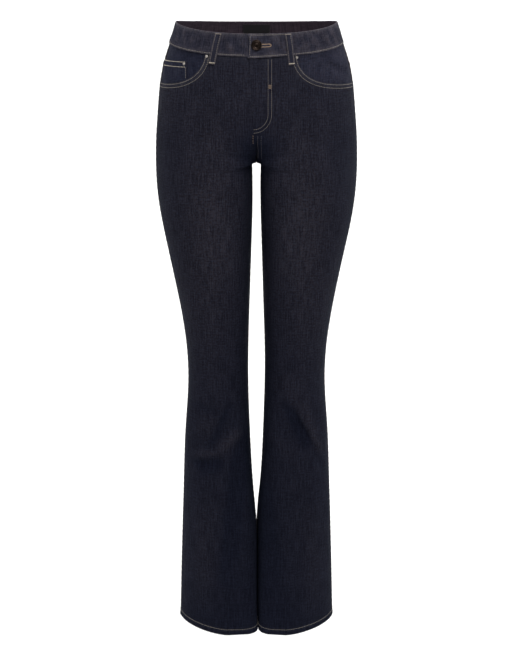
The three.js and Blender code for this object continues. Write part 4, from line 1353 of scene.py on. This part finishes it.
# %% [markdown]
# ## Behind the fly
#
# The zip is hidden from the front but shows when one looks down into the waist: a woven tape with a closed
# chain of metal teeth, and the denim shield behind it. The teeth are made later, with the stitches: each is
# a short bar across the chain, repeated down the tape as one mesh. The label is a plain black ribbon that is
# sewn inside the back of the waistband, so it is a strip like the others, on the other face.

# %% Zip, shield and label
ZIP_TAPE, ZIP_CHAIN, CHAIN_BED = 1.0, 1.9, 0.7
LABEL_CLOTH = 0.8
LABEL_HALF, LABEL_TOP, LABEL_FOOT = 23.0, -5.0, -29.0


def plain_finish(name, colour, roughness, grain_scale, metallic=0.0, sheen=0.0):
    """A simple material whose colour, roughness and bump vary with fine noise on Object coordinates."""
    material = bpy.data.materials.new(name)
    material.use_nodes = True
    tree = material.node_tree
    shader = tree.nodes["Principled BSDF"]
    place = add_node(tree, "ShaderNodeTexCoord").outputs["Object"]
    grain = noise(tree, place, scale=grain_scale, detail=3)
    shade = tuple(0.7 * part for part in linear(*colour)[:3]) + (1.0,)
    mixed = blend(tree, remap(tree, grain, 0.35, 0.65), shade, linear(*colour))
    join(tree, mixed, shader.inputs["Base Color"])
    rough = remap(tree, grain, 0.3, 0.7, roughness * 0.85, min(roughness * 1.15, 1))
    join(tree, rough, shader.inputs["Roughness"])
    relief = add_node(tree, "ShaderNodeBump")
    relief.inputs["Strength"].default_value = 0.25
    relief.inputs["Distance"].default_value = 0.0002
    join(tree, grain, relief.inputs["Height"])
    join(tree, relief.outputs[0], shader.inputs["Normal"])
    shader.inputs["Metallic"].default_value = metallic
    shader.inputs["Sheen Weight"].default_value = sheen
    return material


TAPE = plain_finish("zip tape", (34, 36, 46), 0.85, 1500.0, sheen=0.2)
TEETH = plain_finish("zip teeth", (150, 128, 96), 0.35, 700.0, metallic=1.0)
SATIN = plain_finish("label satin", (24, 22, 25), 0.42, 1200.0, sheen=0.15)
BRONZE = plain_finish("dark bronze", (46, 38, 34), 0.34, 500.0, metallic=1.0)
STEEL = plain_finish("rivet steel", (168, 162, 156), 0.3, 500.0, metallic=1.0)


def behind_fly(from_x, to_x, foot, columns, rows):
    """u and row of a strip behind the fly, from one x to another and down to its foot."""
    row = np.linspace(BAND_SEAM - 2 * SEAM, foot, rows)[:, None] * np.ones(columns)
    return u_at_x(row, np.linspace(from_x, to_x, columns)), row


def make_strip(name, node, face, places, height, thickness, material):
    """A strip of cloth on the wearer's left side of a face, its outer side at a height over the skin."""
    u, row = places
    outer, inner = (over(1, face, u, row, side) for side in (height, height - thickness))
    made = shell(name, outer, inner, cloth_uv(face, u, row), 0.0, material)
    finish_cloth(made, node)


def make_zip():
    """The zip's tape, with a groove down its middle for the chain."""
    places, depth = behind_fly(18, -8, FLY_FOOT + 8, 23, 60), DENIM + 2 * SEAM
    groove = np.where(np.abs(np.linspace(-0.5, 0.5, 23)) < 0.1, CHAIN_BED, 0.0)
    thickness = ZIP_TAPE - 0.5 * groove
    make_strip("zip_tape", "zip", "front", places, -depth - groove, thickness, TAPE)


def make_shield():
    """The shield of denim between the zip and the wearer."""
    places, depth = behind_fly(26, -34, FLY_FOOT + 2, 41, 70), DENIM + 3 * SEAM + ZIP_CHAIN
    name, node = "denim_fly_shield", "fly_shield"
    make_strip(name, node, "front", places, -depth, DENIM, INDIGO)


def make_label():
    """The plain label inside the back waistband, bowed a little between its sewn top and foot."""
    row = np.linspace(LABEL_TOP, LABEL_FOOT, 20)[:, None] * np.ones(41)
    u = u_at_x(row, np.linspace(LABEL_HALF, -LABEL_HALF, 41), "back")
    height = -DENIM - SEAM - 0.25 * np.sin(math.pi * np.linspace(0, 1, 20))[:, None] ** 2
    make_strip("satin_label", "label", "back", (u, row), height, LABEL_CLOTH, SATIN)


make_zip()
make_shield()
make_label()

# %% [markdown]
# ## Button and rivets
#
# Both are turned metal, so each is one profile of radius and height spun round the line that stands on the
# cloth. The button has a raised rim, a sunk ring and a domed middle, and is left plain. A rivet is a small
# dome with a dimple.

# %% Turned metal
def turned(name, node, slot, profile, seat, leg, x, row, material, segments=48):
    """A profile of radius and height over a seat, spun about the skin's normal at one place on the front.
    The first and last radius are zero, so the ends close, each with a fan of four-sided faces."""
    u = u_at_x(row, x)
    foot, up = skin(leg, "front", u, row), normals(leg, "front", u, row)
    side = unit(np.cross(up, [0.0, 0.0, 1.0]))
    turn = np.linspace(0, 2 * math.pi, segments, endpoint=False)
    ring = np.cos(turn)[:, None] * side + np.sin(turn)[:, None] * np.cross(up, side)
    radius, height = (column[:, None, None] for column in np.array(profile, float).T)
    height = height + seat
    points = foot + height[1:-1] * up + radius[1:-1] * ring
    poles = foot + height[[0, -1], 0] * up
    index = np.arange(points.shape[0] * segments).reshape(-1, segments)
    after = np.roll(index, -1, axis=1)
    quads = np.stack([index[:-1], after[:-1], after[1:], index[1:]], axis=-1).reshape(-1, 4)
    start = np.arange(0, segments, 2)
    near, middle, far = index[:, start], index[:, start + 1], after[:, start + 1]
    first = np.stack([np.full_like(start, index.size), far[0], middle[0], near[0]], axis=-1)
    last = np.stack([np.full_like(start, index.size + 1), near[-1], middle[-1], far[-1]], axis=-1)
    points = np.concatenate([points.reshape(-1, 3), poles])
    made = mesh_object(name, points, np.concatenate([quads, first, last]), material, sharp=50)
    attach(made, "root")
    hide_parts(node)
    print(f"{name}: {len(made.data.polygons)} faces, {radius.max() * 2:.1f} mm across")


BUTTON_SEAT = LAP + BAND_OUT + SEAM
BUTTON_PROFILE = [
    [0, -2 * LAP], [1.5, -2 * LAP], [1.5, 0], [7.6, 0], [8.2, 0.3], [8.5, 0.9], [8.5, 1.8], [8.3, 2.3],
    [7.9, 2.6], [7.4, 2.7], [6.9, 2.55], [6.5, 2.15], [6.2, 1.9], [5.7, 1.85], [5.4, 2.1], [5.1, 2.25],
    [4.7, 2.1], [4.4, 1.9], [3.4, 1.95], [2.6, 2.15], [1.7, 2.35], [0.8, 2.45], [0, 2.5],
]
RIVET_PROFILE = [
    [0, 0.35], [2.2, 0.35], [2.3, 0.65], [2.2, 0.95], [1.95, 1.2], [1.6, 1.42], [1.2, 1.55], [0.95, 1.58],
    [0.75, 1.5], [0.55, 1.32], [0.3, 1.25], [0, 1.23],
]
RIVET_ROW = BAND_SEAM - 3.5
RIVETS = {
    "rivet_right": (-1, 80.0, RIVET_ROW),
    "rivet_left": (1, 64.6, RIVET_ROW),
    "rivet_coin": (-1, 117.0, COIN_TOP + 6),
}

turned("bronze_button", "button", "button", BUTTON_PROFILE, BUTTON_SEAT, 1, 0.0, BUTTON_ROW, BRONZE)
for node, place in RIVETS.items():
    turned(f"steel_{node}", node, "rivet", RIVET_PROFILE, 0.0, *place, STEEL, segments=28)

# %% [markdown]
# ## Topstitching
#
# Jeans are sewn with thick thread in long even stitches, mostly in pairs of lines. On the real cloth each
# stitch is a short length of thread that goes down into the cloth at both ends. So one small shape of four
# rings is copied along every line with array sums, turned to the line's direction and the cloth's normal.
# Lines are found by their distance from a seam or an edge, and lie on the same ripples as the cloth.

# %% A stitch, and lines of them
STITCH_PITCH, STITCH_LENGTH, THREAD = 3.1, 2.3, 0.56


def stitch_shape(length, thick):
    """Four rings of six points along x, thinner and lower at the ends, and the quads that join them."""
    along = np.array([-0.5, -0.32, 0.32, 0.5]) * length
    radius = np.array([0.55, 1.0, 1.0, 0.55]) * thick / 2
    rise = np.array([-0.35, 0.3, 0.3, -0.35]) * thick
    turn = np.linspace(0, 2 * math.pi, 6, endpoint=False)
    aside = radius[:, None] * np.cos(turn)
    upward = rise[:, None] + radius[:, None] * np.sin(turn)
    points = np.stack(np.broadcast_arrays(along[:, None], aside, upward), axis=-1)
    index = np.arange(24).reshape(4, 6)
    after = np.roll(index, -1, axis=1)
    sides = np.stack([index[:-1], after[:-1], after[1:], index[1:]], axis=-1).reshape(-1, 4)
    ends = np.array([[0, 5, 4, 3], [0, 3, 2, 1], [18, 19, 20, 21], [18, 21, 22, 23]])
    return points.reshape(-1, 3), np.concatenate([sides, ends])


def between(values, spots):
    """Rows of an array read at fractional places."""
    index = np.arange(len(values))
    return np.stack([np.interp(spots, index, values[:, k]) for k in range(values.shape[1])], axis=-1)


def stitch_line(points, upward, pitch=STITCH_PITCH, length=STITCH_LENGTH, thick=THREAD, crosswise=False):
    """Stitches at an even pitch along a line. Each is the shape's x along the line, its z along the cloth's
    normal and its y across both; crosswise turns it to lie across the line, as in a tack."""
    count = max(int(line_length(points) / pitch), 1)
    fine = along_line(points, 2 * count + 1)
    centre, normal = between(points, fine[1::2]), unit(between(upward, fine[1::2]))
    ahead = between(points, fine[2::2]) - between(points, fine[:-1:2])
    ahead = unit(ahead - normal * (ahead * normal).sum(axis=-1, keepdims=True))
    aside = np.cross(normal, ahead)
    if crosswise:
        ahead, aside = aside, -ahead
    shape, _ = stitch_shape(length, thick)
    axes = np.stack([ahead, aside, normal], axis=1)
    return centre[:, None, :] + np.einsum("pk,nkj->npj", shape, axes)


def sew(name, lines, material):
    """One mesh of all the stitches in some lines."""
    stitches = np.concatenate(lines)
    _, faces = stitch_shape(1, 1)
    faces = (faces[None] + 24 * np.arange(len(stitches))[:, None, None]).reshape(-1, 4)
    made = mesh_object(name, stitches.reshape(-1, 3), faces, material, sharp=75)
    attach(made, "root")
    print(f"{name}: {len(stitches)} alike")


def u_at_distance(face, row, distance, centre=True):
    """u at a distance over the cloth from the centre seam or the side seam, halved in on."""
    row, distance = np.broadcast_arrays(np.asarray(row, float), np.asarray(distance, float))
    low, high = np.zeros_like(row), np.ones_like(row)
    for _ in range(24):
        u = (low + high) / 2
        far = from_centre(face, u, row) > distance if centre else from_side(face, u, row) < distance
        low, high = np.where(far, u, low), np.where(far, high, u)
    return u


RELIEFS = {"front": front_relief, "back": back_relief}


def on_cloth(face, leg, u, row, **how):
    """A stitched line on a front, or on a back or a yoke, from its u and row."""
    u, row = np.broadcast_arrays(u, row)
    points = on_panel(leg, face, u, row, RELIEFS[face](leg, u, row))
    return stitch_line(points, normals(leg, face, u, row), **how)


def at_distances(face, leg, rows, distances):
    """Lines down a panel, one at each distance from the centre seam or the inseam."""
    return [on_cloth(face, leg, u_at_distance(face, rows, distance), rows) for distance in distances]


def thread(name, colour):
    """Cotton-wrapped thread: matt, with a fine noise for its twist."""
    return plain_finish(name, colour, 0.8, 2500.0, sheen=0.1)


GREY_THREAD = thread("grey thread", (151, 143, 133))
TAN_THREAD = thread("tan thread", (176, 148, 120))
CREAM_THREAD = thread("cream thread", (192, 181, 163))
DULL_THREAD = thread("dull thread", (128, 119, 111))
DARK_THREAD = thread("dark thread", (62, 58, 66))

print("A stitch has", len(stitch_shape(STITCH_LENGTH, THREAD)[1]), "faces")

# %% [markdown]
# ## Lines on the fronts
#
# The scoops and the hem are sewn in grey, the fly in a duller thread that turns in at its foot, and the coin
# pocket in thick cream thread. The inseam's pair is nearly lost in the dark cloth. Each thread is a mesh of
# its own, so that its colour is changed in one place.

# %% Stitch the fronts
SCOOP_LINES, HEM_LINE, FELLED_LINES = (1.6, 6.8), 9.5, (2.0, 7.5)
J_TACK, FLY_LINE_TOP, BELOW_FLY_X = (-96.0, -102.5), -56.0, -5.6
COIN_LINES, COIN_LINE_FROM, COIN_LINE_FOOT = (1.4, 9.2), -153.0, -88.0


def fly_line(x_line):
    """The fly's stitched line as x and z: straight down, then a quarter of an ellipse in to the centre."""
    turn = np.linspace(0, QUARTER, 80)
    foot = J_FOOT_Z + FLY_LINES[1] - x_line
    x = np.append(np.full(80, x_line), J_END_X + (x_line - J_END_X) * np.cos(turn))
    straight = np.linspace(FLY_LINE_TOP, J_TURN_Z, 80, endpoint=False)
    return x, np.append(straight, J_TURN_Z + (foot - J_TURN_Z) * np.sin(turn))


def sew_front(word, leg):
    """In dark thread the inseam's pair, and on the wearer's left the pair below the fly; in grey thread the
    scoop's pair and the hem's line."""
    dark = at_distances("front", leg, np.linspace(CROTCH_ROW - 22, HEM + 12, 500), FELLED_LINES)
    if leg == 1:
        z = np.linspace(J_FOOT_Z - 4, CROTCH_ROW + 16, 40)
        dark += [on_cloth("front", leg, *locate(leg, "front", x, z)) for x in FELLED_LINES]
    scoop = [on_cloth("front", leg, *scoop_line(leg, grow)) for grow in SCOOP_LINES]
    hem = on_cloth("front", leg, np.linspace(0.004, 0.996, 300), HEM + HEM_LINE)
    sew(f"inseam_stitches_front_{word}", dark, DARK_THREAD)
    sew(f"scoop_stitches_{word}", scoop + [hem], GREY_THREAD)


def sew_fly():
    """The fly's two curved lines, and in tan the open tack across them and the line below their foot."""
    lines = [on_cloth("front", 1, *locate(1, "front", *fly_line(x_line))) for x_line in FLY_LINES]
    sew("fly_stitches", lines, DULL_THREAD)
    u, row = locate(1, "front", sum(FLY_LINES) / 2, np.linspace(*J_TACK, 12))
    tack = on_cloth("front", 1, u, row, pitch=1.6, length=5.2, thick=0.45, crosswise=True)
    u, row = locate(-1, "front", BELOW_FLY_X, np.linspace(J_FOOT_Z - 3, J_FOOT_Z - 18, 20))
    below = on_cloth("front", -1, u, row, thick=0.4)
    sew("fly_tacks", [tack, below], TAN_THREAD)


def coin_line(x, z, thick=0.9):
    """A line on the coin pocket from its x and z, in thicker thread."""
    u, row = locate(-1, "front", x, z)
    height = facing_relief(-1, u, row) - SEAM - 0.05
    points = on_panel(-1, "front", u, row, height)
    return stitch_line(points, normals(-1, "front", u, row), thick=thick)


def sew_coin_pocket():
    """The two lines across its top in cream, and in grey the one down its inner edge."""
    x = np.linspace(COIN_LINE_FROM, COIN_EDGE_X - 2, 60)
    sew("coin_stitches", [coin_line(x, COIN_TOP - inset) for inset in COIN_LINES], CREAM_THREAD)
    z = np.linspace(COIN_TOP - 9, COIN_LINE_FOOT, 40)
    sew("coin_edge_stitches", [coin_line(COIN_EDGE_X - 1.6, z, THREAD)], GREY_THREAD)


for word, leg in RIGHT_AND_LEFT.items():
    sew_front(word, leg)
sew_fly()
sew_coin_pocket()

# %% [markdown]
# ## Lines on the backs
#
# The photograph doesn't show the back, so it is sewn as plain jeans are: a pair of lines on the yoke and on
# the seat, a pair round each patch pocket, and two lines across the pocket's hem, with no design.

# %% Stitch the backs
POCKET_LINES, POCKET_HEMS = (1.8, 8.0), (4.0, 12.0)
SIDE_LINE, SIDE_LINE_FOOT = 2.4, -214.0


def pocket_line(leg, share, down):
    """A line on a patch pocket, from its shares across and down."""
    u, row = pocket_place(leg, share, down)
    height = back_relief(leg, u, row) + pocket_rise(share, down, leg)
    return stitch_line(over(leg, "back", u, row, height), normals(leg, "back", u, row))


def sew_back(word, leg):
    """The yoke's pair, the hem's line, a line beside the side seam, on the wearer's left the seat's pair,
    and on the patch pocket a pair down its sides and foot and two lines across its hem."""
    u = np.linspace(0.01, 0.99, 200)
    lines = [on_cloth("back", leg, u, yoke_row(u) - SEAM / 2 - inset) for inset in FELLED_LINES]
    lines.append(on_cloth("back", leg, np.linspace(0.004, 0.996, 300), HEM + HEM_LINE))
    rows = np.linspace(BAND_SEAM - 2, SIDE_LINE_FOOT, 120)
    lines.append(on_cloth("back", leg, u_at_distance("back", rows, SIDE_LINE, centre=False), rows))
    if leg == 1:
        rows = np.linspace(BAND_SEAM - 2, CROTCH_ROW + 4, 140)
        lines += at_distances("back", leg, rows, FELLED_LINES)
    for inset in POCKET_LINES:
        side, foot = inset / POCKET_WIDE, 1 - inset / POCKET_TALL
        down = np.linspace(0.01, foot, 80)
        lines += [pocket_line(leg, share, down) for share in (side, 1 - side)]
        lines.append(pocket_line(leg, np.linspace(side, 1 - side, 100), foot))
    for inset in POCKET_HEMS:
        lines.append(pocket_line(leg, np.linspace(0.02, 0.98, 90), inset / POCKET_TALL))
    sew(f"back_stitches_{word}", lines, GREY_THREAD)


for word, leg in RIGHT_AND_LEFT.items():
    sew_back(word, leg)

# %% [markdown]
# ## Lines on the waistband
#
# The band is sewn close to its folded edges. Tight stitches lie across the cut edge of the buttonhole, so
# that it doesn't fray, and across both ends of each belt loop, where it is pulled. The zip's teeth are one
# more line of such bars, in metal.

# %% Stitch the band and the loops
BAND_LINE, LOOP_LINE, FROM_TAB_END = 2.2, 3.5, 0.012


def band_line(quarters, row):
    """A line on the waistband, as points and directions out, from quarters round the waist and row."""
    quarters, row = np.broadcast_arrays(quarters, row)
    height = band_lift(quarters) + band_relief(quarters, row) + BAND_OUT
    points = band_points(quarters, row, height)
    return points, unit(band_points(quarters, row, height + 1) - points)


def hole_ring():
    """Places round the buttonhole: a stadium of x and row round the slit."""
    turn = np.linspace(0, 2 * math.pi, 90)
    half, middle = (HOLE_TO_X - HOLE_FROM_X) / 2, (HOLE_TO_X + HOLE_FROM_X) / 2
    x = middle + half * np.clip(1.12 * np.cos(turn), -1, 1) + 1.0 * np.cos(turn)
    row = BUTTON_ROW + 1.9 * np.clip(1.5 * np.sin(turn), -1, 1)
    return in_front(1, x, row), row


def sew_band():
    """The lines along the foot, the tab's top and the tab's end in grey, the rest of the top in dark
    thread, where the photograph shows hardly any, and the buttonhole's ring, which lies across its edge."""
    end = BAND_ENDS[1] - FROM_TAB_END
    seen = np.linspace(float(in_front(-1, -TAB_EDGE_X)) + 0.02, end, 900)
    tab_top = np.linspace(float(in_front(1, TAB_FROM_X + 1)), end, 80)
    tab_end = np.linspace(-3.5, BAND_SEAM + 3.5, 60)
    places = (seen, BAND_SEAM + BAND_LINE), (tab_top, -BAND_LINE), (end, tab_end)
    sew("band_stitches", [stitch_line(*band_line(*place)) for place in places], GREY_THREAD)
    rest = seen[seen < tab_top[0]]
    sew("band_top_stitches", [stitch_line(*band_line(rest, -BAND_LINE))], DARK_THREAD)
    ring = stitch_line(*band_line(*hole_ring()), pitch=0.6, length=1.4, thick=0.5, crosswise=True)
    sew("buttonhole_stitches", [ring], TAN_THREAD)


def sew_zip():
    """The zip's teeth, each a short bar across the chain."""
    row = np.linspace(BAND_SEAM - 6, FLY_FOOT + 14, 80)
    u = u_at_x(row, 5.0)
    chain = over(1, "front", u, row, -DENIM - 2 * SEAM - ZIP_TAPE - 0.5)
    bars = {"pitch": 1.3, "length": 4.6, "thick": 0.95, "crosswise": True}
    sew("zip_teeth", [stitch_line(chain, normals(1, "front", u, row), **bars)], TEETH)


def loop_line(name, across, down, **how):
    """A line on a belt loop."""
    leg, face = LOOPS[name][:2]
    across, down = np.broadcast_arrays(across, down)
    u, row = loop_place(name, across, down)
    points = over(leg, face, u, row, loop_lift(row) + LOOP_CLOTH - 0.1)
    return stitch_line(points, normals(leg, face, u, row), **how)


def sew_loops():
    """On every loop a line along both edges, and a tack across each end: the foot's in cream."""
    down = np.linspace(0.03, 0.97, 60)
    width = np.linspace(-LOOP_WIDTH / 2 + 0.6, LOOP_WIDTH / 2 - 0.6, 20)
    tack = {"pitch": 0.6, "length": 1.9, "crosswise": True}
    sides = [loop_line(name, side * LOOP_LINE, down) for name in LOOPS for side in (-1, 1)]
    tops = [loop_line(name, width, 0.045, **tack) for name in LOOPS]
    feet = [loop_line(name, width, 0.95, **tack) for name in LOOPS]
    sew("loop_stitches", sides + tops, DULL_THREAD)
    sew("loop_foot_tacks", feet, CREAM_THREAD)


sew_band()
sew_zip()
sew_loops()

# %% [markdown]
# ## Floor, light and camera
#
# The photograph is taken a little from above with a long lens, in soft light from all sides. The floor is a
# pale sheet that sweeps up behind the jeans, so that no edge shows. It lies well below the hems, because
# the photograph has no shadow there.

# %% The studio
FLOOR_Z = -1.32
FLOOR_HALF_WIDTH, FLOOR_FRONT, SWEEP_START, SWEEP_RADIUS, WALL_TOP = 6.0, -5.0, 2.2, 1.6, 5.0
WORLD_STRENGTH = 0.2
# Name, place in metres, aim as shares of the jeans' box, side in metres and power in watts
LIGHTS = [
    ["key", (0.6, -1.7, 1.8), (0.5, 0.5, 0.85), 0.9, 48],
    ["fill", (-2.2, -2.4, 0.8), (0.5, 0.5, 0.7), 2.0, 14],
    ["above", (0.1, -1.2, 2.1), (0.5, 0.8, 1.0), 1.2, 18],
    ["wall_left", (-2.8, 1.2, 1.4), (0.5, 15.0, 0.3), 2.2, 115],
    ["wall_right", (2.8, 1.2, 1.4), (0.5, 15.0, 0.3), 2.2, 115],
]


def make_floor():
    """The floor's profile is a line, a quarter circle and a line, drawn out sideways."""
    turn = np.linspace(0, QUARTER, 24)
    back = SWEEP_START + SWEEP_RADIUS
    y = np.concatenate([[FLOOR_FRONT, 0], SWEEP_START + SWEEP_RADIUS * np.sin(turn), [back]])
    z = np.concatenate([[0, 0], SWEEP_RADIUS * (1 - np.cos(turn)), [WALL_TOP]]) + FLOOR_Z
    x = np.array([-FLOOR_HALF_WIDTH, FLOOR_HALF_WIDTH])
    points = np.stack(np.broadcast_arrays(x[:, None], y, z), axis=-1).reshape(-1, 3)
    count = len(y)
    i = np.arange(count - 1)
    quads = np.stack([i, i + count, i + count + 1, i + 1], axis=-1)
    mesh = bpy.data.meshes.new("studio_floor")
    mesh.from_pydata(points.tolist(), [], quads.tolist())
    mesh.polygons.foreach_set("use_smooth", np.ones(len(quads), bool))
    pale = bpy.data.materials.new("pale floor")
    pale.use_nodes = True
    shader = pale.node_tree.nodes["Principled BSDF"]
    shader.inputs["Base Color"].default_value = (0.9, 0.9, 0.9, 1)
    shader.inputs["Roughness"].default_value = 0.9
    mesh.materials.append(pale)
    floor = bpy.data.objects.new("studio_floor", mesh)
    bpy.context.scene.collection.objects.link(floor)


def aim(thing, at):
    """Turns an object so that its own -Z points at a place."""
    direction = at - thing.location
    thing.rotation_euler = direction.to_track_quat("-Z", "Y").to_euler()


def soft_light(name, place, share, size, power):
    """A square area light, aimed at a point of the jeans' box, given as shares of its sides."""
    lamp = bpy.data.lights.new(name, "AREA")
    lamp.shape, lamp.size, lamp.energy = "SQUARE", size, power
    made = bpy.data.objects.new(name, lamp)
    made.location = place
    bpy.context.scene.collection.objects.link(made)
    low, high = (np.array(corner) for corner in cad_box)
    aim(made, Vector(mix(low, high, np.array(share))))


make_floor()
for light in LIGHTS:
    soft_light(*light)
world = bpy.data.worlds.new("studio")
world.use_nodes = True
world.node_tree.nodes["Background"].inputs["Color"].default_value = (1, 1, 1, 1)
world.node_tree.nodes["Background"].inputs["Strength"].default_value = WORLD_STRENGTH
bpy.context.scene.world = world

CAMERA_PLACE, CAMERA_TARGET = (0.0, -2.6, 0.109), (0.0, 0.0, -0.521)
FRAME_HEIGHT, FOCAL_PIXELS, SENSOR = 655, 1545, 36.0
lens = bpy.data.cameras.new("camera")
lens.sensor_fit = "VERTICAL"
lens.sensor_height = SENSOR
lens.lens = SENSOR * FOCAL_PIXELS / FRAME_HEIGHT
camera = bpy.data.objects.new("camera", lens)
bpy.context.scene.collection.objects.link(camera)
camera.location = CAMERA_PLACE
aim(camera, Vector(CAMERA_TARGET))
bpy.context.scene.camera = camera
bpy.context.scene.view_settings.view_transform = "Standard"
print("The lens is", round(lens.lens, 1), "mm")

# %% [markdown]
# ## Finish
#
# Cloth may stand a few millimetres proud of the plain model.

# %% Finish
bpy.context.view_layer.update()
